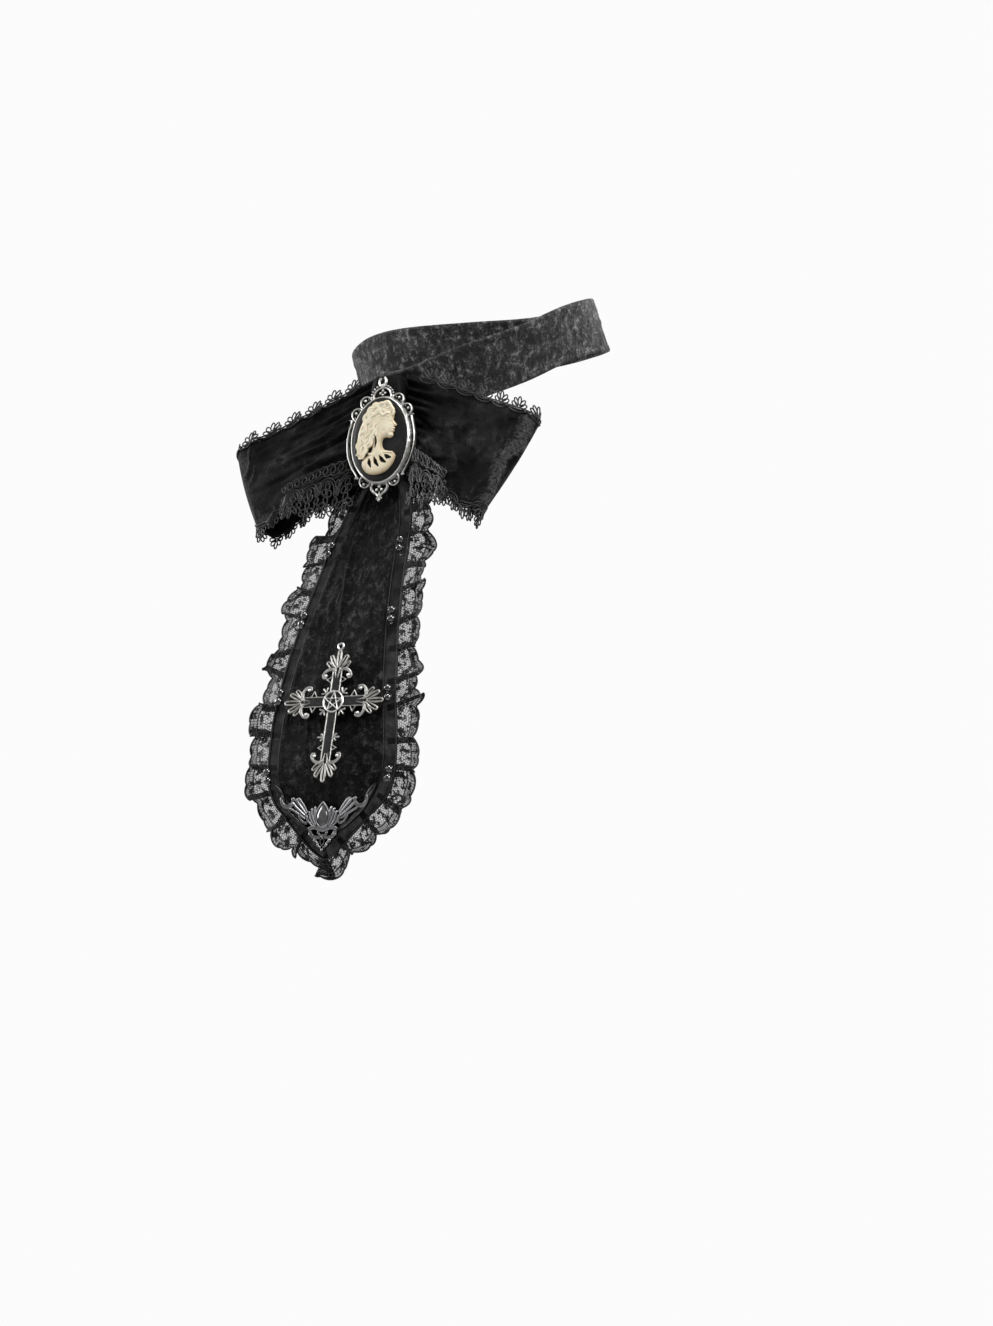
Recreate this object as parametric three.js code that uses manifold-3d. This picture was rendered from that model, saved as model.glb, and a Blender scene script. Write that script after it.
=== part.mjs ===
// A jabot: a neckband with a flat bow, a cameo, and a lace-edged tail with a cross and a tip ornament.
// Millimetres and degrees. +Z is up, -Y is the front, and the origin is the middle of the neckband's loop.
import * as THREE from "three";
import { mergeVertices } from "three/addons/utils/BufferGeometryUtils.js";
import Module from "manifold-3d";

const wasm = await Module();
wasm.setup();

// Walls and clearances
const clearance = 0.3;
const clothWall = 1.5;
const laceWall = 1.1;

// Neckband
const bandReach = 64;
const bandRise = 53.6;
const bandWidth = 27;
const bandWall = 1.6;
const bandTilt = 18.8;
const hemWidth = 2.5;
const hemRise = 0.3;
const claspWidth = 16;
const claspHeight = 20;
const claspThickness = 2.2;

// Bow
const bowHalfSpan = 87.6;
const bowLowHalfSpan = 67.4;
const bowTopRise = 17.4;
const bowTopDrop = 31.6;
const bowBottomDepth = 24.5;
const bowBottomDrop = 38;
const bowLean = 14;
const bowStandOff = 12;
const bowBelowBand = 7.5;
const bowPinchBack = 7.8;
const bowBackDrop = 3.5;
const bowTopBack = 6.5;
const loopDepth = 13;
const foldDepth = 2.2;
const loopDroop = 1.12;
const knotWidth = 18;
const knotBevel = 2;
const edgingHeight = 4.2;
const edgingPitch = 11;
const edgingStart = 0.085;
const edgingSwell = 0.3;

// Guipure tabs
const guipureHeight = 24;
const guipureRightHeight = 29;
const guipureRightRise = 4;
const guipureReach = 0.66;
const guipureStart = 0.07;
const guipureRightStart = 0.2;
const guipureRightReach = 0.7;
const guipureUpperEdge = 0.84;
const loopFrontShare = 0.46;

// Cameo
const cameoHeight = 40;
const cameoWidth = 30;
const cameoStandOff = 18.28;
const cameoAside = 1.8;
const cameoBelowBand = 23.5;
const cameoTilt = 3.5;
const cameoYaw = 4;
const settingThickness = 1.5;
const layerStep = 0.07;
const rimWidth = 1;
const rimHeight = 1.3;
const wireWidth = 1;
const sideBarOffset = 1.7;
const scrollRadius = 2.3;
const archHeight = 4.8;
const ballRadius = 0.95;
const groundDome = 0.8;
const groundEdge = 0.5;
const reliefHeight = 1.1;
const hairHeight = 1.6;
const ladyHeight = 44.5;
const ladyAside = -0.8;

// Tail
const tailLength = 190;
const tailForward = 50;
const tailHalfWidth = 33.5;
const tailTwistAngle = 7;
const tailSway = 2;
const tailCrown = 2;
const borderWidth = 6;
const laceWidth = 10.2;
const pleatPitch = 21.5;
const pleatDepth = 2.6;
const laceStart = 0.055;
const pleatSteepness = 2.4;
const pleatSteps = 5;
const laceSwell = 0.16;
const laceTip = 0.08;
const laceTipSpread = 0.14;
const laceTaper = 0.45;
const laceTaperSpread = 0.05;

// Cross
const crossHalfSpan = 26.6;
const crossTopArm = 25.5;
const crossLowArm = 39;
const crossTilt = 14.5;
const crossAside = 1.7;
const crossShare = 0.6247;
const barWidth = 5.2;
const enamelWidth = 3;
const crossThickness = 1.9;
const circleRadius = 5.4;
const starWire = 0.8;
const petalLength = 6.4;
const petalWire = 0.95;
const enamelThickness = 0.3;
const circleRise = 0.5;
const spikeWidth = 2.8;
const spikeHeight = 2.2;
const flowerRadius = 1.5;
const hangRadius = 2.1;
const hangWire = 1;

// Tip ornament
const ornamentHalfSpan = 28;
const ornamentHeight = 31;
const ornamentAboveTip = 18.5;
const ornamentThickness = 1.5;
const stoneHeight = 12.7;
const stoneWidth = 7.5;
const stoneRise = 1.6;
const stoneGirdle = 0.6;
const wingRise = 0.6;
const armWidth = 3.6;
const leafWidth = 4.4;
const hookWidth = 2;
const dropWidth = 1.6;
const eyeRadius = 2.3;
const eyeWire = 1.2;

// Beads
const beadDiameter = 3.8;
const beadSpacing = 4.3;
const beadSides = 10;

// Pairs of beads, top to tip: share of the tail's length, distance in from the seam
const beadRows = [
  [0.228, 2.4],
  [0.409, 2.4],
  [0.603, 2.4],
  [0.8, 1.2],
];

// Neckband rows, front to nape: turn, reach share, rise share, lean
const bandRows = [
  [0, 0.941, 0, -11.3],
  [30, 0.886, 0.201, -4.2],
  [60, 0.873, 0.422, -4.2],
  [90, 0.906, 0.7, -1.5],
  [120, 1.023, 0.905, 8.8],
  [150, 1.064, 0.998, 8.8],
  [180, 1.069, 1, 8.8],
];

// One loop of the bow seen from its edge, knot to fold and back: share of its reach, share of its depth
const loopRows = [
  [0, 0.12],
  [0.16, 0.3],
  [0.42, 0.5],
  [0.7, 0.56],
  [0.88, 0.5],
  [0.975, 0.3],
  [1, 0],
  [0.975, -0.28],
  [0.88, -0.44],
  [0.7, -0.44],
  [0.42, -0.36],
  [0.16, -0.22],
  [0, -0.12],
];

// Folds that fan out from the knot: place across, width across, share of foldDepth, share of the reach
const foldRows = [
  [0.2, 0.07, -1, 0.75],
  [0.34, 0.08, 1, 0.9],
  [0.5, 0.06, -0.9, 0.6],
  [0.66, 0.08, 0.9, 0.8],
  [0.82, 0.06, -0.8, 0.55],
];

// Guipure tabs, knot to outer end: share of the loop's reach, shares of the height for both edges
const guipureRows = [
  [0.06, 0, 0.9],
  [0.14, 0.12, 1.05],
  [0.24, 0.24, 1.3],
  [0.34, 0.36, 1.2],
  [0.44, 0.48, 1.42],
  [0.54, 0.62, 1.3],
  [0.66, 0.78, 1.5],
];

// Centre line of the tail: share of the length, shares of the forward reach, the twist and the sway
const tailRows = [
  [0, 0, 0, 0],
  [0.063, 0.065, 0, 0],
  [0.147, 0.17, 0.1, -0.1],
  [0.232, 0.314, 0.3, -0.2],
  [0.321, 0.455, 0.5, -0.3],
  [0.447, 0.638, 0.7, -0.3],
  [0.6, 0.81, 0.9, -0.1],
  [0.747, 0.918, 1, 0.6],
  [0.837, 0.966, 1, 0.9],
  [0.905, 0.994, 1, 1],
  [0.958, 1, 1, 1],
  [1, 0.98, 1, 1],
  [1.042, 0.906, 1, 1],
  [1.09, 0.806, 1, 1],
];

// Seam of the tail, top to tip: share of the half width, share of the length
const seamRows = [
  [0.28, 0],
  [0.45, 0.063],
  [0.59, 0.147],
  [0.667, 0.232],
  [0.728, 0.321],
  [0.823, 0.447],
  [0.93, 0.6],
  [1, 0.747],
  [0.975, 0.811],
  [0.86, 0.862],
  [0.66, 0.898],
  [0.42, 0.941],
  [0.21, 0.979],
  [0, 1],
];

const fullTurn = 360;
const radians = THREE.MathUtils.degToRad;
const lerp = THREE.MathUtils.lerp;
const vector = (x, y, z) => new THREE.Vector3(x, y, z);

// Value of a column of a table at x, on a smooth curve through the rows.
function rowValue(rows, x, column) {
  let i = 0;
  while (i < rows.length - 2 && x > rows[i + 1][0]) i += 1;
  const at = (k) => rows[Math.min(Math.max(k, 0), rows.length - 1)];
  const slope = (k) => {
    const run = at(k + 1)[0] - at(k - 1)[0];
    return (at(k + 1)[column] - at(k - 1)[column]) / run;
  };
  const run = rows[i + 1][0] - rows[i][0];
  const t = THREE.MathUtils.clamp((x - rows[i][0]) / run, 0, 1);
  const startSlope = i === 0 ? 0 : slope(i);
  const endSlope = slope(i + 1);
  const a = rows[i][column];
  const b = rows[i + 1][column];
  const cubic = 2 * t ** 3 - 3 * t ** 2;
  const ease = (t ** 3 - 2 * t ** 2 + t) * startSlope + (t ** 3 - t ** 2) * endSlope;
  return a * (cubic + 1) - b * cubic + run * ease;
}

// A closed mesh from positions and triangles, with doubled corners joined and its faces turned outwards.
function closedMesh(positions, triangles) {
  const rough = new THREE.BufferGeometry();
  rough.setAttribute("position", new THREE.Float32BufferAttribute(positions, 3));
  rough.setIndex(triangles);
  const merged = mergeVertices(rough, 1e-3);
  const kept = [];
  for (let i = 0; i < merged.index.count; i += 3) {
    const [a, b, c] = merged.index.array.slice(i, i + 3);
    if (a !== b && b !== c && c !== a) kept.push(a, b, c);
  }
  const solid = new wasm.Manifold(
    new wasm.Mesh({
      numProp: 3,
      vertProperties: merged.attributes.position.array,
      triVerts: new Uint32Array(kept),
    }),
  );
  if (solid.volume() < 0) kept.reverse();
  merged.setIndex(kept);
  return merged;
}

// A sheet of the given wall over pointAt(across, along, lift), with both shares from 0 to 1.
function sheet(pointAt, acrossSteps, alongSteps, wall, isLoop = false) {
  const positions = [];
  const triangles = [];
  const rows = isLoop ? alongSteps : alongSteps + 1;
  const columns = acrossSteps + 1;
  for (const lift of [-wall / 2, wall / 2]) {
    for (let j = 0; j < rows; j += 1) {
      for (let i = 0; i < columns; i += 1) {
        positions.push(...pointAt(i / acrossSteps, j / alongSteps, lift));
      }
    }
  }
  const corner = (side, j, i) => (side * rows + (j % rows)) * columns + i;
  const quad = (a, b, c, d) => triangles.push(a, b, c, a, c, d);
  for (let j = 0; j < alongSteps; j += 1) {
    for (let i = 0; i < acrossSteps; i += 1) {
      quad(corner(0, j, i), corner(0, j, i + 1), corner(0, j + 1, i + 1), corner(0, j + 1, i));
      quad(corner(1, j, i), corner(1, j + 1, i), corner(1, j + 1, i + 1), corner(1, j, i + 1));
    }
    const last = acrossSteps;
    quad(corner(0, j, 0), corner(0, j + 1, 0), corner(1, j + 1, 0), corner(1, j, 0));
    quad(corner(0, j, last), corner(1, j, last), corner(1, j + 1, last), corner(0, j + 1, last));
  }
  for (let i = 0; i < acrossSteps && !isLoop; i += 1) {
    const end = alongSteps;
    quad(corner(0, 0, i), corner(1, 0, i), corner(1, 0, i + 1), corner(0, 0, i + 1));
    quad(corner(0, end, i), corner(0, end, i + 1), corner(1, end, i + 1), corner(1, end, i));
  }
  return closedMesh(positions, triangles);
}

function solidOf(geometry) {
  const plain = geometry.index ? geometry.toNonIndexed() : geometry.clone();
  const bare = new THREE.BufferGeometry();
  bare.setAttribute("position", plain.getAttribute("position"));
  const merged = mergeVertices(bare, 1e-4);
  return new wasm.Manifold(
    new wasm.Mesh({
      numProp: 3,
      vertProperties: merged.attributes.position.array,
      triVerts: new Uint32Array(merged.index.array),
    }),
  );
}

function geometryOf(solid) {
  const mesh = solid.getMesh();
  const geometry = new THREE.BufferGeometry();
  geometry.setAttribute("position", new THREE.BufferAttribute(mesh.vertProperties, 3));
  geometry.setIndex(new THREE.BufferAttribute(mesh.triVerts, 1));
  return geometry;
}

const joined = (solids) => solids.reduce((sum, next) => sum.add(next));

// A flat outline raised from one height to another.
function raised(shape, from, to, curveSegments = 5) {
  const geometry = new THREE.ExtrudeGeometry(shape, {
    depth: to - from,
    bevelEnabled: false,
    curveSegments,
  });
  return solidOf(geometry.translate(0, 0, from));
}

// Flat metalwork whose faces lie a little inside those of the layers before it.
function layered(shape, height, level) {
  return raised(shape, level * layerStep, height - level * layerStep);
}

function polygon(points) {
  return new THREE.Shape(points.map(([x, y]) => new THREE.Vector2(x, y)));
}

function ellipsePoints(radiusX, radiusY, sides, x = 0, y = 0) {
  return Array.from({ length: sides }, (_, i) => {
    const angle = (2 * Math.PI * i) / sides;
    return [x + radiusX * Math.cos(angle), y + radiusY * Math.sin(angle)];
  });
}

function ellipse(radiusX, radiusY, sides, x = 0, y = 0) {
  return polygon(ellipsePoints(radiusX, radiusY, sides, x, y));
}

// A flat ring whose hole is left open.
function ring(x, y, outer, inner, sides) {
  const shape = ellipse(outer, outer, sides, x, y);
  shape.holes.push(ellipse(inner, inner, sides, x, y));
  return shape;
}

// A flat band of even width along a few points.
function ribbon(points, width) {
  const line = points.map(([x, y]) => new THREE.Vector2(x, y));
  const left = [];
  const right = [];
  line.forEach((point, i) => {
    const before = line[Math.max(i - 1, 0)];
    const after = line[Math.min(i + 1, line.length - 1)];
    const run = after.clone().sub(before).normalize();
    const side = new THREE.Vector2(-run.y, run.x).multiplyScalar(width / 2);
    left.push(point.clone().add(side));
    right.unshift(point.clone().sub(side));
  });
  return new THREE.Shape([...left, ...right]);
}

function ball(x, y, z, radius) {
  return solidOf(new THREE.SphereGeometry(radius, 6, 4).translate(x, y, z));
}

// Puts flat work on a surface: local x runs across, local y runs up and local z comes forward.
function seated(geometry, point, tilt, yaw) {
  const seat = new THREE.Matrix4()
    .makeTranslation(point.x, point.y, point.z)
    .multiply(new THREE.Matrix4().makeRotationZ(radians(yaw)))
    .multiply(new THREE.Matrix4().makeRotationX(Math.PI / 2 - radians(tilt)));
  return geometry.clone().applyMatrix4(seat);
}

// Neckband
const bandCentreY = (bandReach * (bandRows[0][1] - bandRows.at(-1)[1])) / 2;

function bandPoint(turn, across, lift) {
  const half = Math.min(turn, fullTurn - turn);
  const radial = vector(Math.sin(radians(turn)), -Math.cos(radians(turn)), 0);
  const lean = radians(rowValue(bandRows, half, 3));
  const width = vector(0, -Math.sin(radians(bandTilt)), Math.cos(radians(bandTilt)))
    .multiplyScalar(Math.cos(lean))
    .addScaledVector(radial, -Math.sin(lean));
  const outward = radial.clone().addScaledVector(width, -radial.dot(width)).normalize();
  return vector(0, bandCentreY, bandRise * (rowValue(bandRows, half, 2) - 0.5))
    .addScaledVector(radial, bandReach * rowValue(bandRows, half, 1))
    .addScaledVector(width, across * bandWidth)
    .addScaledVector(outward, lift);
}

function neckband() {
  const hem = hemWidth / bandWidth;
  const foot = hem + hemRise / bandWidth;
  const stops = [-0.5, -0.5 + hem, -0.5 + foot, 0.5 - foot, 0.5 - hem, 0.5];
  const raise = [hemRise, hemRise, 0, 0, hemRise, hemRise];
  const steps = stops.length - 1;
  const turns = 30;
  return sheet(
    (across, along, lift) => {
      const i = Math.round(across * steps);
      return bandPoint(along * fullTurn, stops[i], lift + (lift > 0 ? raise[i] : 0));
    },
    steps,
    turns,
    bandWall,
    true,
  );
}

function napeClasp() {
  const box = new THREE.BoxGeometry(claspWidth, claspHeight, claspThickness);
  const reach = bandWall / 2 + hemRise + clearance + claspThickness / 2;
  const foot = bandPoint(fullTurn / 2, -0.1, reach);
  const top = bandPoint(fullTurn / 2, 0.1, reach);
  const lean = THREE.MathUtils.radToDeg(Math.atan2(foot.y - top.y, top.z - foot.z));
  return seated(box, bandPoint(fullTurn / 2, 0, reach), -lean, 0);
}

// Bow
const bandFront = bandPoint(0, 0, 0);
const bowCentre = vector(0, bandFront.y - bowStandOff, bandFront.z - bowBelowBand);
const bowUp = vector(0, Math.sin(radians(bowLean)), Math.cos(radians(bowLean)));
const bowForward = vector(0, -Math.cos(radians(bowLean)), Math.sin(radians(bowLean)));
const loopStart = knotWidth / 2 + clearance;
const loopReach = bowHalfSpan - loopStart;
const loopSteps = 48;
const loopPath = new THREE.CatmullRomCurve3(
  loopRows.map(([along, depth]) => vector(along * loopReach, depth * loopDepth, 0)),
);

function foldLift(along, across) {
  const heights = foldRows.map(([place, width, height, reach]) => {
    const near = Math.exp(-(((across - place) / width) ** 2));
    return height * near * Math.sin(Math.PI * Math.min(along / reach, 1)) ** 2;
  });
  return foldDepth * heights.reduce((sum, next) => sum + next, 0);
}

// A point on a loop: across runs from its upper edge to its lower one, beyond goes past the nearer edge.
function bowPoint(side, across, path, lift, beyond = 0) {
  const spot = loopPath.getPointAt(path);
  const run = loopPath.getTangentAt(path);
  const along = spot.x / loopReach;
  const topReach = along * loopReach;
  const lowReach = along * (bowLowHalfSpan - loopStart);
  const top = bowTopRise - bowTopDrop * Math.max(along, 0) ** loopDroop;
  const low = -bowBottomDepth - bowBottomDrop * along;
  const fold = run.x > 0 ? foldLift(along, across) : 0;
  const pinch = bowPinchBack * (1 - along) ** 2 * Math.sqrt(across);
  const dip = bowTopBack * Math.sin(Math.PI * Math.min(Math.max(along, 0), 1)) * (1 - across);
  const reach = loopStart + lerp(topReach, lowReach, across) - run.y * lift;
  const behind = bowBackDrop * (1 - across) * THREE.MathUtils.smoothstep(path, 0.45, 0.6);
  const up = lerp(top, low, across) - behind + (across < 0.5 ? beyond : -beyond);
  const forward = spot.y + fold - pinch - dip + run.x * lift;
  return bowCentre
    .clone()
    .add(vector(side * Math.max(reach, loopStart), 0, 0))
    .addScaledVector(bowUp, up)
    .addScaledVector(bowForward, forward);
}

function bowLoop(side) {
  return sheet((across, path, lift) => bowPoint(side, across, path, lift), 4, loopSteps, clothWall);
}

// Picot edging along one edge of a loop, all round it.
function edging(side, edge) {
  const scallops = Math.round(loopPath.getLength() / edgingPitch);
  return sheet(
    (share, along, lift) => {
      const path = lerp(edgingStart, 1 - edgingStart, along);
      const swell = 1 - edgingSwell * (1 - Math.abs(Math.sin(Math.PI * scallops * along)));
      const beyond = lerp(clearance, edgingHeight * swell, share);
      return bowPoint(side, edge, path, lift, beyond);
    },
    1,
    loopSteps,
    laceWall,
  );
}

const cameoPlace = vector(cameoAside, bandFront.y - cameoStandOff, bandFront.z - cameoBelowBand);

// The gathered centre fills the room between the neckband and the back of the cameo.
function cameoPlaneY(z) {
  return cameoPlace.y + (z - cameoPlace.z) * Math.tan(radians(cameoTilt));
}

const knotTop = bowCentre.z + bowTopRise;
const knotLow = bowCentre.z - bowBottomDepth;
const tailTop = vector(0, bandFront.y - bowStandOff + 2 * clearance, knotLow - 3 * clearance);

function bowKnot() {
  const face = bandWall / 2 + hemRise + clearance;
  const bandTop = bandPoint(0, 0.5, face);
  const bandLow = bandPoint(0, -0.5, face);
  const front = (z) => cameoPlaneY(z) + clearance + knotWidth / 2 * Math.sin(radians(cameoYaw));
  const outline = polygon([
    [bandLow.y, bandLow.z],
    [bandTop.y, bandTop.z - knotBevel],
    [front(knotTop), knotTop],
    [front(knotLow + knotBevel), knotLow + knotBevel],
    [tailTop.y, knotLow],
    [tailTop.y + 2 * knotBevel, knotLow],
  ]);
  const solid = new THREE.ExtrudeGeometry(outline, {
    depth: knotWidth,
    bevelEnabled: false,
  });
  const turn = new THREE.Matrix4().makeBasis(vector(0, 1, 0), vector(0, 0, 1), vector(1, 0, 0));
  return solid.translate(0, 0, -knotWidth / 2).applyMatrix4(turn);
}

// Guipure tabs hang in front of the loops' lower halves.
function guipure(side) {
  const height = side > 0 ? guipureRightHeight : guipureHeight;
  const start = side > 0 ? guipureRightStart : guipureStart;
  const reach = side > 0 ? guipureRightReach : guipureReach;
  const upperEdge = -bowBottomDepth * guipureUpperEdge + (side > 0 ? guipureRightRise : 0);
  return sheet(
    (across, along, lift) => {
      const share = lerp(start, reach, along);
      const upper = rowValue(guipureRows, share, 1);
      const lower = rowValue(guipureRows, share, 2);
      const path = share * loopFrontShare;
      const seat = bowPoint(side, 1, path, clothWall / 2 + clearance + laceWall / 2 + lift);
      const wanted = upperEdge - height * lerp(upper, lower, across);
      const offset = seat.clone().sub(bowCentre).dot(bowUp);
      return seat.addScaledVector(bowUp, wanted - offset).addScaledVector(bowForward, foldDepth * along);
    },
    2,
    12,
    laceWall,
  );
}

// Tail: a chart that takes millimetres across and down the tail and a lift off it.
function tailPoint(across, drop, lift) {
  const share = drop / tailLength;
  const step = 0.004;
  const forward = (s) => tailForward * rowValue(tailRows, s, 1);
  const slope = (forward(share + step) - forward(share - step)) / (2 * step * tailLength);
  const twist = radians(tailTwistAngle * rowValue(tailRows, share, 2));
  const side = vector(Math.cos(twist), Math.sin(twist), 0);
  const down = vector(0, -slope, -1).normalize();
  const outward = down.clone().cross(side).normalize();
  const crown = tailCrown * (across / tailHalfWidth) ** 2;
  return tailTop
    .clone()
    .add(vector(tailSway * rowValue(tailRows, share, 3), -forward(share), -drop))
    .addScaledVector(side, across)
    .addScaledVector(outward, lift - crown);
}

const seamSide = seamRows.map(([width, length]) => [width * tailHalfWidth, length * tailLength]);
const seamCurve = new THREE.CatmullRomCurve3(
  [
    ...seamSide.map(([x, y]) => vector(-x, y, 0)),
    ...seamSide.slice(0, -1).reverse().map(([x, y]) => vector(x, y, 0)),
  ],
  false,
  "centripetal",
);
seamCurve.arcLengthDivisions = 800;

// A point beside the seam, at a distance outwards from it, as millimetres across and down.
function besideSeam(along, outward) {
  const spot = seamCurve.getPointAt(along);
  const run = seamCurve.getTangentAt(along);
  return [spot.x - run.y * outward, spot.y + run.x * outward];
}

// The same beside the rows of the seam's table, which lie close together round the tip.
function besideSeamRow(share, outward) {
  const spot = seamCurve.getPoint(share);
  const run = seamCurve.getTangent(share);
  return [spot.x - run.y * outward, spot.y + run.x * outward];
}

function tailPanel() {
  return sheet(
    (across, down, lift) => {
      const [x, y] = besideSeamRow(0.5 * down, -borderWidth);
      const half = Math.max(-x, 0);
      return tailPoint(lerp(-half, half, across), y, lift);
    },
    4,
    2 * (seamRows.length - 1),
    clothWall,
  );
}

function tailBorder() {
  return sheet(
    (across, along, lift) => {
      const [x, y] = besideSeamRow(along, lerp(-borderWidth + clearance, -clearance, across));
      return tailPoint(x, y, lift);
    },
    1,
    4 * (seamRows.length - 1),
    laceWall,
  );
}

// Height of the box pleats and reach of the lace beyond the seam.
function pleatLift(along) {
  const phase = (along * seamCurve.getLength()) / pleatPitch;
  const wave = Math.cos(2 * Math.PI * phase) * pleatSteepness;
  return THREE.MathUtils.clamp(wave, -1, 1) * pleatDepth;
}

function laceReach(along) {
  const phase = (along * seamCurve.getLength()) / pleatPitch;
  const scallop = laceSwell * Math.cos(2 * Math.PI * phase);
  const tip = laceTip * Math.exp(-(((along - 0.5) / laceTipSpread) ** 2));
  const ends = laceTaper * Math.exp(-(Math.min(along, 1 - along) / laceTaperSpread));
  return laceWidth * (1 + scallop + tip - ends);
}

function pleatedLace() {
  const steps = Math.round(seamCurve.getLength() / pleatPitch) * pleatSteps;
  return sheet(
    (across, share, lift) => {
      const along = lerp(laceStart, 1 - laceStart, share);
      const [x, y] = besideSeam(along, lerp(clearance, laceReach(along), across));
      return tailPoint(x, y, lift + pleatLift(along) * across);
    },
    1,
    steps,
    laceWall,
  );
}

// Cameo, in its own frame: x across, y up, z forward from the back of the setting
const ovalX = cameoWidth / 2;
const ovalY = cameoHeight / 2;
const outerX = ovalX + rimWidth;
const outerY = ovalY + rimWidth;
const ovalSides = 32;
const scrollSeat = 0.8;
const ballSeat = 0.3;

function ovalPoint(angle, offset) {
  const x = (outerX + offset) * Math.cos(radians(angle));
  const y = (outerY + offset) * Math.sin(radians(angle));
  return [x, y];
}

// Side bars and top arch of the setting: angle round the oval, share of their distance from it
const barRows = [
  [33, -0.1],
  [26, 0.8],
  [12, 0.9],
  [0, 1.1],
  [-14, 1],
  [-26, 0.7],
  [-36, -0.1],
];
const archRows = [
  [114, 0],
  [105, 0.7],
  [97, 0.95],
  [90, 1],
  [83, 0.95],
  [75, 0.7],
  [66, 0],
];

const scrollAngles = [72, 53, 35, -40, -62];

// The leaf under the oval and its balls, below the oval's lowest point
const leafRows = [
  [-3.2, 0.5],
  [-3.8, -2.6],
  [0, -7],
  [3.8, -2.6],
  [3.2, 0.5],
];
const leafBalls = [
  [0, -7.4, 1.3 * ballRadius],
  [-1.1, -0.5, ballRadius],
  [1.1, -0.5, ballRadius],
  [0, -1.8, ballRadius],
];

function cameoSetting() {
  const front = settingThickness;
  const parts = [raised(ellipse(outerX, outerY, ovalSides), 0, front)];
  const rim = ellipse(outerX, outerY, ovalSides);
  rim.holes.push(ellipse(ovalX + clearance, ovalY + clearance, ovalSides));
  parts.push(raised(rim, front - clearance, front + rimHeight));
  scrollAngles.forEach((angle, i) => {
    for (const side of [-1, 1]) {
      const [x, y] = ovalPoint(angle, scrollRadius * scrollSeat);
      const scroll = ring(side * x, y, scrollRadius, scrollRadius - wireWidth, 8);
      parts.push(layered(scroll, front, i + 1));
      const [ballX, ballY] = ovalPoint(angle, scrollRadius * ballSeat);
      parts.push(ball(side * ballX, ballY, front + layerStep / 2, ballRadius));
    }
  });
  for (const side of [-1, 1]) {
    const bar = barRows.map(([angle, offset]) => {
      const [x, y] = ovalPoint(angle, sideBarOffset * offset);
      return [side * x, y];
    });
    parts.push(layered(ribbon(bar, wireWidth), front, 6));
  }
  const arch = archRows.map(([angle, offset]) => ovalPoint(angle, archHeight * offset));
  parts.push(layered(ribbon(arch, wireWidth), front, 7));
  const stem = ribbon([ovalPoint(90, -wireWidth / 2), ovalPoint(90, archHeight)], wireWidth);
  parts.push(layered(stem, front, 8));
  const ringY = ovalPoint(90, archHeight)[1] + scrollRadius;
  parts.push(layered(ring(0, ringY, scrollRadius, scrollRadius - wireWidth, 12), front, 9));
  const low = ovalPoint(-90, 0)[1];
  const leaf = leafRows.map(([x, y]) => [x, low + y]);
  parts.push(layered(ribbon(leaf, wireWidth), front, 8));
  leafBalls.forEach(([x, y, radius]) => parts.push(ball(x, low + y, front / 2, radius)));
  return geometryOf(joined(parts));
}

function cameoGround() {
  const base = settingThickness + clearance;
  const profile = [
    [0, base],
    [1, base],
    [1, base + groundEdge],
    [0.93, base + groundEdge + groundDome * 0.6],
    [0.8, base + groundEdge + groundDome],
    [0, base + groundEdge + groundDome],
  ].map(([x, y]) => new THREE.Vector2(x, y));
  const dome = new THREE.LatheGeometry(profile, 28).rotateX(Math.PI / 2);
  dome.scale(ovalX, ovalY, 1);
  return closedMesh([...dome.attributes.position.array], [...dome.index.array]);
}

// Outline of the lady, as shares of her height: face on the right, hair falling on the left
const ladyRows = [
  [0.02, 0.41],
  [0.12, 0.39],
  [0.19, 0.33],
  [0.215, 0.27],
  [0.21, 0.215],
  [0.2, 0.2],
  [0.245, 0.135],
  [0.215, 0.122],
  [0.22, 0.1],
  [0.208, 0.088],
  [0.215, 0.072],
  [0.2, 0.05],
  [0.2, 0.018],
  [0.165, 0],
  [0.09, 0.005],
  [0.065, -0.03],
  [0.075, -0.1],
  [0.13, -0.135],
  [0.2, -0.155],
  [0.235, -0.2],
  [0.2, -0.29],
  [0.12, -0.36],
  [0, -0.39],
  [-0.108, -0.365],
  [-0.171, -0.3],
  [-0.18, -0.24],
  [-0.225, -0.19],
  [-0.252, -0.1],
  [-0.257, 0.02],
  [-0.225, 0.14],
  [-0.18, 0.25],
  [-0.108, 0.36],
];

// The hair stands above the face: from the crown down the back of the head
const hairRows = [
  [0, 0.4],
  [0.11, 0.37],
  [0.17, 0.31],
  [0.12, 0.27],
  [0.04, 0.2],
  [0, 0.1],
  [-0.036, 0],
  [-0.09, -0.06],
  [-0.135, -0.16],
  [-0.198, -0.2],
  [-0.239, -0.1],
  [-0.243, 0.02],
  [-0.211, 0.14],
  [-0.167, 0.25],
  [-0.099, 0.35],
];

const onLady = ([x, y]) => [x * ladyHeight + ladyAside, y * ladyHeight];
const slotHalfWidth = 0.012;
const slotHalfHeight = 0.04;
const slotPlaces = [
  [-0.05, -0.24],
  [0.03, -0.235],
  [0.1, -0.22],
];

function cameoRelief() {
  const lady = polygon(ladyRows.map(onLady));
  for (const [x, y] of slotPlaces) {
    const slot = ellipsePoints(slotHalfWidth, slotHalfHeight, 6, x, y);
    lady.holes.push(polygon(slot.map(onLady)));
  }
  const base = settingThickness + groundEdge + groundDome + 2 * clearance;
  const hair = polygon(hairRows.map(onLady));
  const layers = [raised(lady, base, base + reliefHeight), raised(hair, base, base + hairHeight)];
  return geometryOf(joined(layers));
}

// Cross, in its own frame, with its crossing at the middle
const crossArms = [
  [0, crossHalfSpan],
  [90, crossTopArm],
  [180, crossHalfSpan],
  [270, crossLowArm],
];

function turned(solid, degrees) {
  return solid.rotate([0, 0, degrees]);
}

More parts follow.
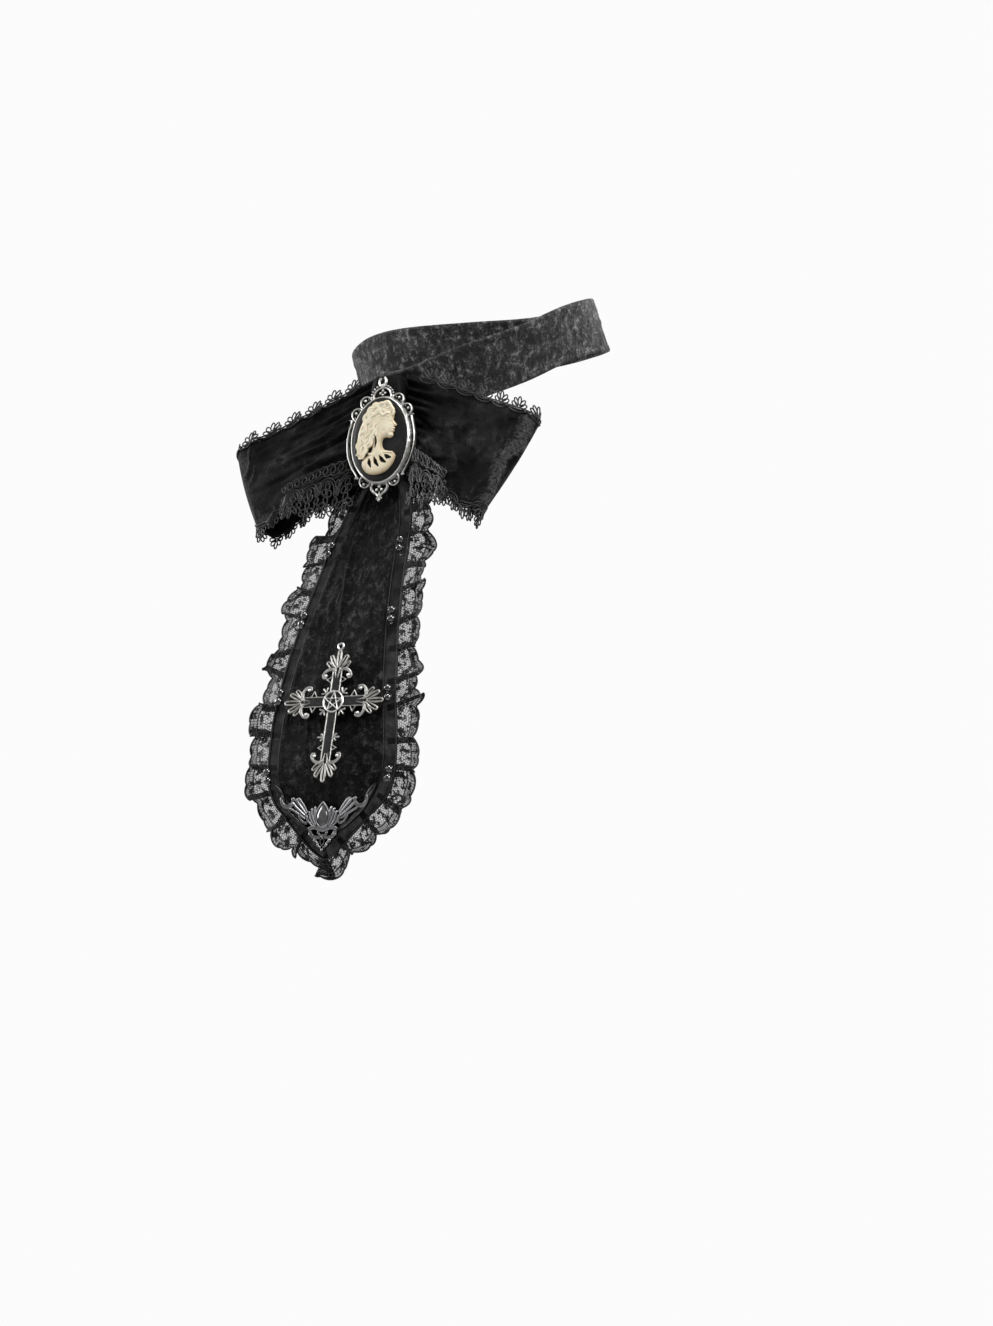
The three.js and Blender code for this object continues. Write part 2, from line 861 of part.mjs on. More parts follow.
// Curls of a palmette as shares of the petals' length: back from the petals' root, aside
const curlRows = [
  [0, 0.09],
  [0.47, 0.84],
];
const curlMiddle = [0.66, 1];
const curlRadius = 0.31;
const curlHole = 0.14;
const curlWidth = 0.34;
const petalPlumpness = 0.62;
const petalAngles = [-50, 0, 50];

// A palmette that ends at the reach on +x: three lobes and two curls round a stem.
function palmette(reach, height) {
  const root = reach - petalLength;
  const width = petalLength * petalPlumpness;
  const petals = petalAngles.map((angle, i) => {
    const shape = ellipse(petalLength / 2, width / 2, 6, petalLength / 2, 0);
    const hole = ellipse(petalLength / 2 - petalWire, width / 2 - petalWire, 4, petalLength / 2, 0);
    shape.holes.push(hole);
    return turned(layered(shape, height, i + 1), angle).translate([root, 0, 0]);
  });
  const curls = [-1, 1].map((side) => {
    const at = ([back, aside]) => [root - petalLength * back, side * petalLength * aside];
    const [x, y] = at(curlMiddle);
    const curl = ring(x, y, petalLength * curlRadius, petalLength * curlHole, 6);
    const arm = ribbon(curlRows.map(at), petalLength * curlWidth);
    return layered(curl, height, 4).add(layered(arm, height, 5));
  });
  return joined([...petals, ...curls]);
}

// A bar of the cross runs under its palmette's petals, and its enamel stops where their curls begin.
const barEnd = (reach) => reach - 0.94 * petalLength;
const enamelEnd = (reach) => reach - 1.4 * petalLength;

// A small triangle on each side of a bar, halfway between the circle and the curls.
function spikes(reach, height) {
  const middle = lerp(circleRadius, reach - 2.2 * petalLength, 0.55);
  const foot = barWidth / 2 - enamelThickness;
  return [-1, 1].map((side) => {
    const corners = [[-spikeWidth / 2, foot], [spikeWidth / 2, foot], [0, foot + spikeHeight]];
    return layered(polygon(corners.map(([x, y]) => [middle + x, side * y])), height, 3);
  });
}

function crossShape() {
  const front = crossThickness;
  const floor = front - 3 * clearance - enamelThickness;
  const lidTop = front + circleRise;
  const bloom = ellipse(flowerRadius, flowerRadius, 6, circleRadius + flowerRadius / 2, 0);
  const flower = layered(bloom, front, 2);
  const parts = [];
  const grooves = [];
  for (const [angle, reach] of crossArms) {
    const bar = layered(ribbon([[0, 0], [barEnd(reach), 0]], barWidth), front, angle % 180 ? 0 : 1);
    parts.push(turned(joined([bar, palmette(reach, front), ...spikes(reach, front)]), angle));
    parts.push(turned(flower, angle + 45));
    const groove = ribbon([[-enamelWidth / 2, 0], [enamelEnd(reach), 0]], enamelWidth + 2 * clearance);
    grooves.push(turned(raised(groove, floor, lidTop), angle));
  }
  const circle = ring(0, 0, circleRadius, circleRadius - starWire, 16);
  const lid = [raised(circle, front - clearance, lidTop)];
  const tips = [0, 1, 2, 3, 4].map((i) => {
    const angle = radians(90 + 144 * i);
    const reach = circleRadius - starWire / 2;
    return [reach * Math.cos(angle), reach * Math.sin(angle)];
  });
  tips.forEach((tip, i) => {
    const line = ribbon([tip, tips[(i + 1) % 5]], starWire);
    lid.push(raised(line, front - clearance, lidTop - layerStep * (i + 1)));
  });
  const hangRing = ring(0, crossTopArm + 0.75 * hangRadius, hangRadius, hangRadius - hangWire, 10);
  const plate = joined([...parts, layered(hangRing, front, 6)]).subtract(joined(grooves));
  return geometryOf(plate.add(joined(lid)));
}

function crossEnamel() {
  const top = crossThickness - 2 * clearance;
  const bars = crossArms.map(([angle, reach]) => {
    const bar = ribbon([[-enamelWidth / 2, 0], [enamelEnd(reach) - clearance, 0]], enamelWidth);
    return turned(raised(bar, top - enamelThickness, top), angle);
  });
  return geometryOf(joined(bars));
}

// Tip ornament, in its own frame, with the middle of the stone at the middle.
// Rows of its right half are shares of its half span and of its height.
const wingRows = [
  [0.141, 0.12],
  [0.24, 0.145],
  [0.29, 0],
  [0.24, -0.13],
  [0.112, -0.145],
];
const armRows = [
  [0.2, -0.13],
  [0.35, -0.01],
  [0.52, 0.11],
  [0.7, 0.22],
  [0.86, 0.37],
  [0.97, 0.48],
];
const leafTipRows = [
  [0.5, 0.13],
  [0.45, 0.25],
  [0.42, 0.36],
];
const hookRows = [
  [0.94, 0.47],
  [0.82, 0.5],
  [0.74, 0.47],
];
const eyePlaces = [
  [0.27, -0.13],
  [0.165, -0.2],
];
const dropRows = [
  [0.2, -0.22],
  [0.11, -0.36],
  [0, -0.487],
];

function tipOrnament() {
  const front = ornamentThickness;
  const bezelX = stoneWidth / 2 + rimWidth;
  const bezelY = stoneHeight / 2 + rimWidth;
  const parts = [raised(ellipse(bezelX, bezelY, 12), 0, front)];
  for (const side of [-1, 1]) {
    const at = ([x, y]) => [side * ornamentHalfSpan * x, ornamentHeight * y];
    parts.push(raised(polygon(wingRows.map(at)), layerStep, front + wingRise));
    parts.push(layered(ribbon(armRows.map(at), armWidth), front, 2));
    parts.push(layered(ribbon(leafTipRows.map(at), leafWidth), front, 3));
    parts.push(layered(ribbon(hookRows.map(at), hookWidth), front, 7));
    eyePlaces.map(at).forEach(([x, y], i) => {
      parts.push(layered(ring(x, y, eyeRadius, eyeRadius - eyeWire, 8), front, 4 + i));
    });
    parts.push(layered(ribbon(dropRows.map(at), dropWidth), front, 6));
  }
  const [, lowest] = dropRows.at(-1);
  parts.push(ball(0, ornamentHeight * lowest, front / 2, ballRadius));
  const seat = ellipse(stoneWidth / 2 + clearance, stoneHeight / 2 + clearance, 12);
  return geometryOf(joined(parts).subtract(raised(seat, front - stoneGirdle, front + stoneRise)));
}

// A cut stone: a girdle, a ring of facets and a table.
function tipStone() {
  const base = ornamentThickness - stoneGirdle + clearance;
  const table = 0.5;
  const positions = [];
  const triangles = [];
  const sides = 12;
  for (const [scale, height] of [[1, base], [1, base + stoneGirdle], [table, base + stoneRise]]) {
    for (const [x, y] of ellipsePoints((stoneWidth / 2) * scale, (stoneHeight / 2) * scale, sides)) {
      positions.push(x, y, height);
    }
  }
  positions.push(0, 0, base, 0, 0, base + stoneRise);
  for (let i = 0; i < sides; i += 1) {
    const next = (i + 1) % sides;
    triangles.push(3 * sides, next, i);
    for (const level of [0, sides]) {
      triangles.push(level + i, level + next, level + sides + next);
      triangles.push(level + i, level + sides + next, level + sides + i);
    }
    triangles.push(2 * sides + i, 2 * sides + next, 3 * sides + 1);
  }
  return closedMesh(positions, triangles);
}

const trimLift = clothWall / 2 + tailCrown / 2 + clearance;
const ornamentLift = clothWall / 2 + clearance;
const ornamentDrop = tailLength - ornamentAboveTip;
const crossDrop = tailLength * crossShare;

// The slope and turn of the tail at a drop, for what lies flat on it.
function tailTurn(drop) {
  const near = crossHalfSpan / 6;
  const above = tailPoint(0, drop - near, 0);
  const below = tailPoint(0, drop + near, 0);
  const tilt = THREE.MathUtils.radToDeg(Math.atan2(above.y - below.y, above.z - below.z));
  return [tilt, tailTwistAngle * rowValue(tailRows, drop / tailLength, 2)];
}

function onTail(geometry) {
  const [tilt, yaw] = tailTurn(ornamentDrop);
  return seated(geometry, tailPoint(0, ornamentDrop, ornamentLift), tilt, yaw);
}

// The cross is flat and the tail bulges, so only its middle lies on the cloth.
function onCross(geometry) {
  const middle = tailPoint(crossAside, crossDrop, trimLift);
  return seated(geometry, middle, crossTilt, tailTurn(crossDrop)[1]);
}

function onCameo(geometry) {
  return seated(geometry, cameoPlace, cameoTilt, cameoYaw);
}

// Seam position, as a share of the seam's length, at a share of the tail's length on the left side.
function seamAt(lengthShare) {
  let along = 0;
  while (seamCurve.getPointAt(along).y < lengthShare * tailLength) along += 0.001;
  return along;
}

function bead(side, [drop, inset], spread) {
  const along = seamAt(drop) + spread / seamCurve.getLength();
  const [x, y] = besideSeam(side < 0 ? along : 1 - along, -inset);
  const spot = tailPoint(x, y, laceWall / 2 + clearance + beadDiameter / 2);
  const round = new THREE.SphereGeometry(beadDiameter / 2, beadSides, 4);
  return round.translate(spot.x, spot.y, spot.z);
}

const clothBlack = new THREE.MeshStandardMaterial({ color: 0x1b1b1d, roughness: 0.85 });
const laceBlack = new THREE.MeshStandardMaterial({ color: 0x242426, roughness: 0.9 });
const silver = new THREE.MeshStandardMaterial({ color: 0xb9b6ae, roughness: 0.35, metalness: 1 });
const gunmetal = new THREE.MeshStandardMaterial({ color: 0x3c3c40, roughness: 0.4, metalness: 1 });
const ivory = new THREE.MeshStandardMaterial({ color: 0xeee3cb, roughness: 0.5 });
const glossBlack = new THREE.MeshStandardMaterial({ color: 0x0b0b0d, roughness: 0.1 });
const enamelBlack = new THREE.MeshStandardMaterial({ color: 0x151517, roughness: 0.3 });

const jabot = new THREE.Group();

function place(name, geometry, material) {
  const mesh = new THREE.Mesh(geometry, material);
  mesh.name = name;
  jabot.add(mesh);
}

place("neckband", neckband(), clothBlack);
place("nape_clasp", napeClasp(), gunmetal);
place("bow_knot", bowKnot(), clothBlack);
for (const [name, side] of [["left", -1], ["right", 1]]) {
  place("bow_loop_" + name, bowLoop(side), clothBlack);
  place("edging_top_" + name, edging(side, 0), laceBlack);
  place("edging_bottom_" + name, edging(side, 1), laceBlack);
  place("guipure_" + name, guipure(side), laceBlack);
  beadRows.forEach((row, i) => {
    const pair = "bead_" + name + "_" + (i + 1);
    place(pair + "a", bead(side, row, -beadSpacing / 2), glossBlack);
    place(pair + "b", bead(side, row, beadSpacing / 2), glossBlack);
  });
}
place("tail_panel", tailPanel(), clothBlack);
place("tail_border", tailBorder(), laceBlack);
place("pleated_lace", pleatedLace(), laceBlack);
place("cameo_setting", onCameo(cameoSetting()), silver);
place("cameo_ground", onCameo(cameoGround()), enamelBlack);
place("cameo_relief", onCameo(cameoRelief()), ivory);
place("cross", onCross(crossShape()), silver);
place("cross_enamel", onCross(crossEnamel()), enamelBlack);
place("tip_ornament", onTail(tipOrnament()), gunmetal);
place("tip_stone", onTail(tipStone()), glossBlack);

export default jabot;
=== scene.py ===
"""A jabot: taffeta neckband, picot-edged bow, cameo, lace-edged tail with a cross and a tip ornament.

The frame holds the solids. This script dresses them: cloth, lace, metal, resin and glass.
Shapes are worked out in millimetres, in the frame's own axes, and made into meshes in metres.
"""

import math

import bpy
import numpy as np
from mathutils import Matrix, Vector


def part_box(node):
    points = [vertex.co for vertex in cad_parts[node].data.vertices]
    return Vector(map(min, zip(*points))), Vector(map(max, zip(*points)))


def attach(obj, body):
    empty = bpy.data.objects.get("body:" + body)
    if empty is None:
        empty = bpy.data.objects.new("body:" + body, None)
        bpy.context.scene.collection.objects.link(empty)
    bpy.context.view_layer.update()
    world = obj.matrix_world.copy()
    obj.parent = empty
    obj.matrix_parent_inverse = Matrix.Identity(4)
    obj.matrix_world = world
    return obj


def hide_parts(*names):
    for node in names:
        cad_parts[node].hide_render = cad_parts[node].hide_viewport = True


MM = 0.001
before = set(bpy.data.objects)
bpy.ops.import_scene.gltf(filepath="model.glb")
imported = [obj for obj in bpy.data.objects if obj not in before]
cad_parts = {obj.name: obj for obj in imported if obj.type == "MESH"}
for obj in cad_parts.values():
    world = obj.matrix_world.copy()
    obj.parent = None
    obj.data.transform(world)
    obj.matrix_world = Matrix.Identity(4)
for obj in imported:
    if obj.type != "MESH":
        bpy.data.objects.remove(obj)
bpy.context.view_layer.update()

# Camera, in millimetres
CAMERA_PLACE = (647.6, -976.8, -263.8)
CAMERA_FORWARD = Vector((-0.5421, 0.8347, 0.0966))
CAMERA_LENS = 63.5
CAMERA_SENSOR = 36.0

camera_data = bpy.data.cameras.new("camera")
camera_data.lens = CAMERA_LENS
camera_data.sensor_width = CAMERA_SENSOR
camera_data.clip_end = 20
camera = bpy.data.objects.new("camera", camera_data)
camera.location = Vector(CAMERA_PLACE) * MM
camera.rotation_euler = CAMERA_FORWARD.to_track_quat("-Z", "Y").to_euler()
bpy.context.scene.collection.objects.link(camera)
bpy.context.scene.camera = camera


# Charts of the cloth surfaces

CLEARANCE = 0.3
CLOTH_WALL = 1.5
LACE_WALL = 1.1

# Neckband rows, front to nape: turn, reach share, rise share, lean
BAND_ROWS = np.array([
    [0, 0.941, 0, -11.3],
    [30, 0.886, 0.201, -4.2],
    [60, 0.873, 0.422, -4.2],
    [90, 0.906, 0.7, -1.5],
    [120, 1.023, 0.905, 8.8],
    [150, 1.064, 0.998, 8.8],
    [180, 1.069, 1, 8.8],
])
BAND_REACH = 64
BAND_RISE = 53.6
BAND_WIDTH = 27
BAND_WALL = 1.6
BAND_TILT = 18.8
BAND_ROUND = 409
HEM_WIDTH = 2.5

# One loop of the bow from its edge: share of its reach, share of its depth
LOOP_ROWS = np.array([
    [0, 0.12],
    [0.16, 0.3],
    [0.42, 0.5],
    [0.7, 0.56],
    [0.88, 0.5],
    [0.975, 0.3],
    [1, 0],
    [0.975, -0.28],
    [0.88, -0.44],
    [0.7, -0.44],
    [0.42, -0.36],
    [0.16, -0.22],
    [0, -0.12],
])
# Folds that fan out from the knot: place across, width across, share of the depth, share of the reach
FOLD_ROWS = [
    [0.2, 0.07, -1, 0.75],
    [0.34, 0.08, 1, 0.9],
    [0.5, 0.06, -0.9, 0.6],
    [0.66, 0.08, 0.9, 0.8],
    [0.82, 0.06, -0.8, 0.55],
]
# Sharp creases: place across, width across, height, share of the reach
CREASE_ROWS = [
    [0.12, 0.025, 1.5, 0.7],
    [0.28, 0.03, -1.6, 0.95],
    [0.42, 0.025, 1.8, 0.75],
    [0.58, 0.03, -1.6, 1.0],
    [0.74, 0.025, 1.7, 0.8],
]
# From the bow's middle to the end of a loop, at its upper and at its lower edge
BOW_HALF_SPAN = 87.6
BOW_LOW_HALF_SPAN = 67.4
# Heights of the edges at the knot, and how far each has sunk at the end of a loop
BOW_TOP_RISE = 17.4
BOW_TOP_DROP = 31.6
BOW_BOTTOM_DEPTH = 24.5
BOW_BOTTOM_DROP = 38
# Lower corner of each loop: how far it is drawn in and up, so that it is rounded
CORNER_IN = {-1: 1.5, 1: 4}
CORNER_RISE = 6
END_BULGE = 6
# The back layer shows below the front one near the knot, and hides behind its upper edge
BACK_LAYER_DROP = 9
BOW_BACK_DROP = 3.5
BOW_LEAN = 14
BOW_STAND_OFF = 12
BOW_BELOW_BAND = 7.5
BOW_PINCH_BACK = 7.8
BOW_TOP_BACK = 6.5
LOOP_DEPTH = 13
FOLD_DEPTH = 2.2
KNOT_WIDTH = 18
EDGING_START = 0.05
EDGING_PITCH = 11

# Centre line of the tail: share of the length, shares of the forward reach, the twist and the sway
TAIL_ROWS = np.array([
    [0, 0, 0, 0],
    [0.063, 0.065, 0, 0],
    [0.147, 0.17, 0.1, -0.1],
    [0.232, 0.314, 0.3, -0.2],
    [0.321, 0.455, 0.5, -0.3],
    [0.447, 0.638, 0.7, -0.3],
    [0.6, 0.81, 0.9, -0.1],
    [0.747, 0.918, 1, 0.6],
    [0.837, 0.966, 1, 0.9],
    [0.905, 0.994, 1, 1],
    [0.958, 1, 1, 1],
    [1, 0.98, 1, 1],
    [1.042, 0.906, 1, 1],
    [1.09, 0.806, 1, 1],
])
# Seam of the tail, top to tip: share of the half width, share of the length
SEAM_ROWS = np.array([
    [0.28, 0],
    [0.45, 0.063],
    [0.59, 0.147],
    [0.667, 0.232],
    [0.728, 0.321],
    [0.823, 0.447],
    [0.93, 0.6],
    [1, 0.747],
    [0.975, 0.811],
    [0.86, 0.862],
    [0.66, 0.898],
    [0.42, 0.941],
    [0.21, 0.979],
    [0, 1],
])
TAIL_LENGTH = 190
TAIL_FORWARD = 50
TAIL_HALF_WIDTH = 33.5
TAIL_TWIST = 7
TAIL_SWAY = 2
TAIL_CROWN = 2
PANEL_FLAT = (55, 178)
BORDER_WIDTH = 6
LACE_WIDTH = 10.2
PLEAT_PITCH = 28
LACE_START = 0.04

# Seats of the metal pieces: place, tilt back and turn aside
CAMEO_ASIDE = 1.8
CAMEO_STAND_OFF = 18.28
CAMEO_BELOW_BAND = 23.5
CAMEO_TILT = 3.5
CAMEO_YAW = 4
CROSS_ASIDE = 1.7
CROSS_PLACE = 0.6247
CROSS_TILT = 14.5
TIP_DROP = TAIL_LENGTH - 18.5
TIP_REACH = 26.6


def row_value(rows, x, column):
    """A column of a table at x, on a smooth curve through the rows."""
    x = np.asarray(x, float)
    places, values = rows[:, 0], rows[:, column]
    last = len(rows) - 1
    i = np.clip(np.searchsorted(places, x, side="left") - 1, 0, last - 1)
    after, before = np.minimum(np.arange(last + 1) + 1, last), np.maximum(np.arange(last + 1) - 1, 0)
    slopes = (values[after] - values[before]) / (places[after] - places[before])
    slopes[0] = 0
    run = places[i + 1] - places[i]
    t = np.clip((x - places[i]) / run, 0, 1)
    cubic = 2 * t**3 - 3 * t**2
    ease = (t**3 - 2 * t**2 + t) * slopes[i] + (t**3 - t**2) * slopes[i + 1]
    return values[i] * (cubic + 1) - values[i + 1] * cubic + run * ease


class SmoothLine:
    """A smooth line through points, with knots spaced by the root of their distance."""

    def __init__(self, points, fineness=120):
        p = np.asarray(points, float)
        p = np.vstack([2 * p[0] - p[1], p, 2 * p[-1] - p[-2]])
        parts = []
        for a, b, c, d in zip(p[:-3], p[1:-2], p[2:-1], p[3:]):
            gaps = [max(np.linalg.norm(e - f) ** 0.5, 1e-6) for e, f in ((b, a), (c, b), (d, c))]
            start = ((b - a) / gaps[0] - (c - a) / (gaps[0] + gaps[1]) + (c - b) / gaps[1]) * gaps[1]
            end = ((c - b) / gaps[1] - (d - b) / (gaps[1] + gaps[2]) + (d - c) / gaps[2]) * gaps[1]
            t = np.linspace(0, 1, fineness, endpoint=False)[:, None]
            bend = (-3 * b + 3 * c - 2 * start - end) * t**2 + (2 * b - 2 * c + start + end) * t**3
            parts.append(b + start * t + bend)
        self.points = np.vstack([*parts, p[-2]])
        steps = np.linalg.norm(np.diff(self.points, axis=0), axis=1)
        self.travel = np.concatenate([[0], np.cumsum(steps)])
        self.length = self.travel[-1]
        self.runs = np.gradient(self.points, self.travel, axis=0)

    def _read(self, table, share):
        at = np.asarray(share, float) * self.length
        return np.stack([np.interp(at, self.travel, table[:, k]) for k in range(table.shape[1])], -1)

    def at(self, share):
        return self._read(self.points, share)

    def run(self, share):
        runs = self._read(self.runs, share)
        return runs / np.linalg.norm(runs, axis=-1, keepdims=True)


def soft_noise(u, v, cell, seed):
    """Smooth noise from -1 to 1 over millimetres u and v."""
    table = np.random.default_rng(seed).uniform(-1, 1, (64, 64))
    x, y = np.asarray(u, float) / cell, np.asarray(v, float) / cell
    i, j = np.floor(x).astype(int), np.floor(y).astype(int)
    s, t = x - i, y - j
    s, t = s * s * (3 - 2 * s), t * t * (3 - 2 * t)
    low = table[i % 64, j % 64] * (1 - s) + table[(i + 1) % 64, j % 64] * s
    high = table[i % 64, (j + 1) % 64] * (1 - s) + table[(i + 1) % 64, (j + 1) % 64] * s
    return low * (1 - t) + high * t


def crinkle(u, v, cell, seed):
    """Sharp-ridged crinkles from 0 to 1, as in crushed cloth."""
    bend = 0.7 * cell * soft_noise(u, v, 1.7 * cell, seed + 1)
    ridge = 1 - np.abs(soft_noise(u + bend, v - bend, cell, seed))
    return ridge**4


def towards(*directions):
    """Vectors as one array whose last axis is x, y, z."""
    return np.stack(np.broadcast_arrays(*directions), -1)


def as_arrays(*values):
    """The values as arrays of one shape."""
    return np.broadcast_arrays(*[np.asarray(value, float) for value in values])


def unit(vectors):
    return vectors / np.linalg.norm(vectors, axis=-1, keepdims=True)


def bell(offset, width):
    """1 at no offset, falling smoothly to nothing over about twice the width."""
    return np.exp(-((offset / width) ** 2))


def smooth_step(x, low, high):
    t = np.clip((x - low) / (high - low), 0, 1)
    return t * t * (3 - 2 * t)


def sin_cos(degrees):
    """Sine and cosine of an angle in degrees."""
    return math.sin(math.radians(degrees)), math.cos(math.radians(degrees))


BAND_CENTRE_Y = BAND_REACH * (BAND_ROWS[0, 1] - BAND_ROWS[-1, 1]) / 2


def band_point(turn, across, lift):
    """A point of the neckband: degrees round it, share of its width from the middle, lift off it."""
    turn, across, lift = as_arrays(turn, across, lift)
    half = np.minimum(turn, 360 - turn)
    angle = np.radians(turn)
    lean = np.radians(row_value(BAND_ROWS, half, 3))
    tilt_back, tilt_up = sin_cos(BAND_TILT)
    radial = towards(np.sin(angle), -np.cos(angle), 0 * angle)
    width = np.array([0, -tilt_back, tilt_up]) * np.cos(lean)[..., None]
    width = width - radial * np.sin(lean)[..., None]
    outward = unit(radial - width * (radial * width).sum(-1, keepdims=True))
    middle = towards(0 * angle, BAND_CENTRE_Y + 0 * angle, BAND_RISE * (row_value(BAND_ROWS, half, 2) - 0.5))
    middle = middle + radial * (BAND_REACH * row_value(BAND_ROWS, half, 1))[..., None]
    return middle + width * (across * BAND_WIDTH)[..., None] + outward * lift[..., None]


BAND_FRONT = band_point(0, 0, 0)
BOW_CENTRE = np.array([0, BAND_FRONT[1] - BOW_STAND_OFF, BAND_FRONT[2] - BOW_BELOW_BAND])
LEAN_BACK, LEAN_UP = sin_cos(BOW_LEAN)
BOW_UP = np.array([0, LEAN_BACK, LEAN_UP])
BOW_OUT = np.array([0, -LEAN_UP, LEAN_BACK])
CAMEO_MIDDLE = (CAMEO_ASIDE, BAND_FRONT[1] - CAMEO_STAND_OFF, BAND_FRONT[2] - CAMEO_BELOW_BAND)
LOOP_START = KNOT_WIDTH / 2 + CLEARANCE
LOOP_REACH = BOW_HALF_SPAN - LOOP_START
LOOP_LINE = SmoothLine(LOOP_ROWS * [LOOP_REACH, LOOP_DEPTH])


def fold_lift(along, across, side):
    """Height of the folds that run out from the knot, with finer gathers close to it."""
    lift = 0
    for place, width, height, reach in FOLD_ROWS:
        swell = np.sin(np.pi * np.clip(along / reach, 0, 1)) ** 2
        lift = lift + FOLD_DEPTH * height * bell(across - place, width) * swell
    wander = 0.09 * soft_noise(along * 40, across * 20, 13, 33 + side)
    for place, width, height, reach in CREASE_ROWS:
        swell = np.sin(np.pi * np.clip(along / reach, 0, 1)) ** 1.5
        lift = lift + height * bell(across + wander - place, width) * swell
    gathers = np.sin(2 * np.pi * (across * 9 + 0.35 * soft_noise(across * 40, along * 3, 5, 31 + side)))
    lift = lift + 0.7 * gathers * bell(along - 0.12, 0.2)
    rumple = crinkle(across * 46 + along * 9 * side, along * 42, 15, 41 + side)
    small = crinkle(across * 50 - along * 12, along * 60, 7, 47 + side)
    return lift + (2.0 * (rumple - 0.3) + 1.0 * (small - 0.3)) * smooth_step(along, 0.1, 0.4)


def bow_point(side, across, path, lift, beyond=0.0):
    """A point of a bow loop: share down from its upper edge, share of the way round it, lift off it.

    Beyond goes past the nearer edge, in millimetres.
    """
    across, path, lift, beyond = as_arrays(across, path, lift, beyond)
    spot, run = LOOP_LINE.at(path), LOOP_LINE.run(path)
    along = spot[..., 0] / LOOP_REACH
    inside = np.clip(along, 0, 1)
    low_end = BOW_LOW_HALF_SPAN - LOOP_START - CORNER_IN[side] * smooth_step(along, 0.5, 1)
    top = BOW_TOP_RISE - BOW_TOP_DROP * np.maximum(along, 0) ** 1.12
    low = -BOW_BOTTOM_DEPTH - BOW_BOTTOM_DROP * along + CORNER_RISE * smooth_step(along, 0.84, 1.0) ** 2
    low = low - BACK_LAYER_DROP * smooth_step(path, 0.55, 0.7) * (1 - smooth_step(along, 0.1, 0.6))
    front_or_back = np.where(run[..., 0] > 0, 1, 0.5)
    fold = fold_lift(along, across, side) * front_or_back * smooth_step(1 - inside, 0, 0.12)
    pinch = BOW_PINCH_BACK * (1 - along) ** 2 * np.sqrt(across)
    dip = BOW_TOP_BACK * np.sin(np.pi * inside) * (1 - across)
    bulge = END_BULGE * across * (1 - across) * smooth_step(along, 0.6, 1)
    reach = LOOP_START + along * (LOOP_REACH * (1 - across) + low_end * across) + bulge - run[..., 1] * lift
    behind = BOW_BACK_DROP * (1 - across) * smooth_step(path, 0.45, 0.6)
    up = top * (1 - across) + low * across - behind + np.where(across < 0.5, beyond, -beyond)
    forward = spot[..., 1] + fold - pinch - dip + run[..., 0] * lift
    sideways = towards(side * np.maximum(reach, LOOP_START), 0 * up, 0 * up)
    return BOW_CENTRE + sideways + BOW_UP * up[..., None] + BOW_OUT * forward[..., None]


KNOT_LOW = BOW_CENTRE[2] - BOW_BOTTOM_DEPTH
TAIL_TOP = np.array([0, BAND_FRONT[1] - BOW_STAND_OFF + 2 * CLEARANCE, KNOT_LOW - 3 * CLEARANCE])


def tail_reach(share):
    """How far forward the tail has come at a share of its length."""
    return TAIL_FORWARD * row_value(TAIL_ROWS, share, 1)


def tail_turn(share):
    """Degrees that the tail is twisted at a share of its length."""
    return TAIL_TWIST * row_value(TAIL_ROWS, share, 2)


def tail_point(across, drop, lift):
    """A point of the tail: millimetres across and down it, lift off it."""
    across, drop, lift = as_arrays(across, drop, lift)
    share = drop / TAIL_LENGTH
    step = 0.004
    slope = (tail_reach(share + step) - tail_reach(share - step)) / (2 * step * TAIL_LENGTH)
    twist = np.radians(tail_turn(share))
    side = towards(np.cos(twist), np.sin(twist), 0 * twist)
    down = unit(towards(0 * slope, -slope, -1 + 0 * slope))
    outward = unit(np.cross(down, side))
    crown = TAIL_CROWN * (across / TAIL_HALF_WIDTH) ** 2
    middle = TAIL_TOP + towards(TAIL_SWAY * row_value(TAIL_ROWS, share, 3), -tail_reach(share), -drop)
    return middle + side * across[..., None] + outward * (lift - crown)[..., None]


RIGHT_SEAM = SEAM_ROWS * [TAIL_HALF_WIDTH, TAIL_LENGTH]
SEAM_LINE = SmoothLine(np.vstack([RIGHT_SEAM * [-1, 1], RIGHT_SEAM[:-1][::-1]]))
SEAM_LENGTH = SEAM_LINE.length


def beside_seam(along, outward):
    """Millimetres across and down the tail, beside the seam."""
    spot, run = SEAM_LINE.at(along), SEAM_LINE.run(along)
    return spot[..., 0] - run[..., 1] * outward, spot[..., 1] + run[..., 0] * outward


# Materials

def grey(value):
    return (value, value, value * 1.03)


def material(name, colour, roughness, **sockets):
    made = bpy.data.materials.new(name)
    made.use_nodes = True
    shader = made.node_tree.nodes["Principled BSDF"]
    shader.inputs["Base Color"].default_value = (*colour, 1)
    shader.inputs["Roughness"].default_value = roughness
    for socket, value in sockets.items():
        shader.inputs[socket.replace("_", " ")].default_value = value
    return made


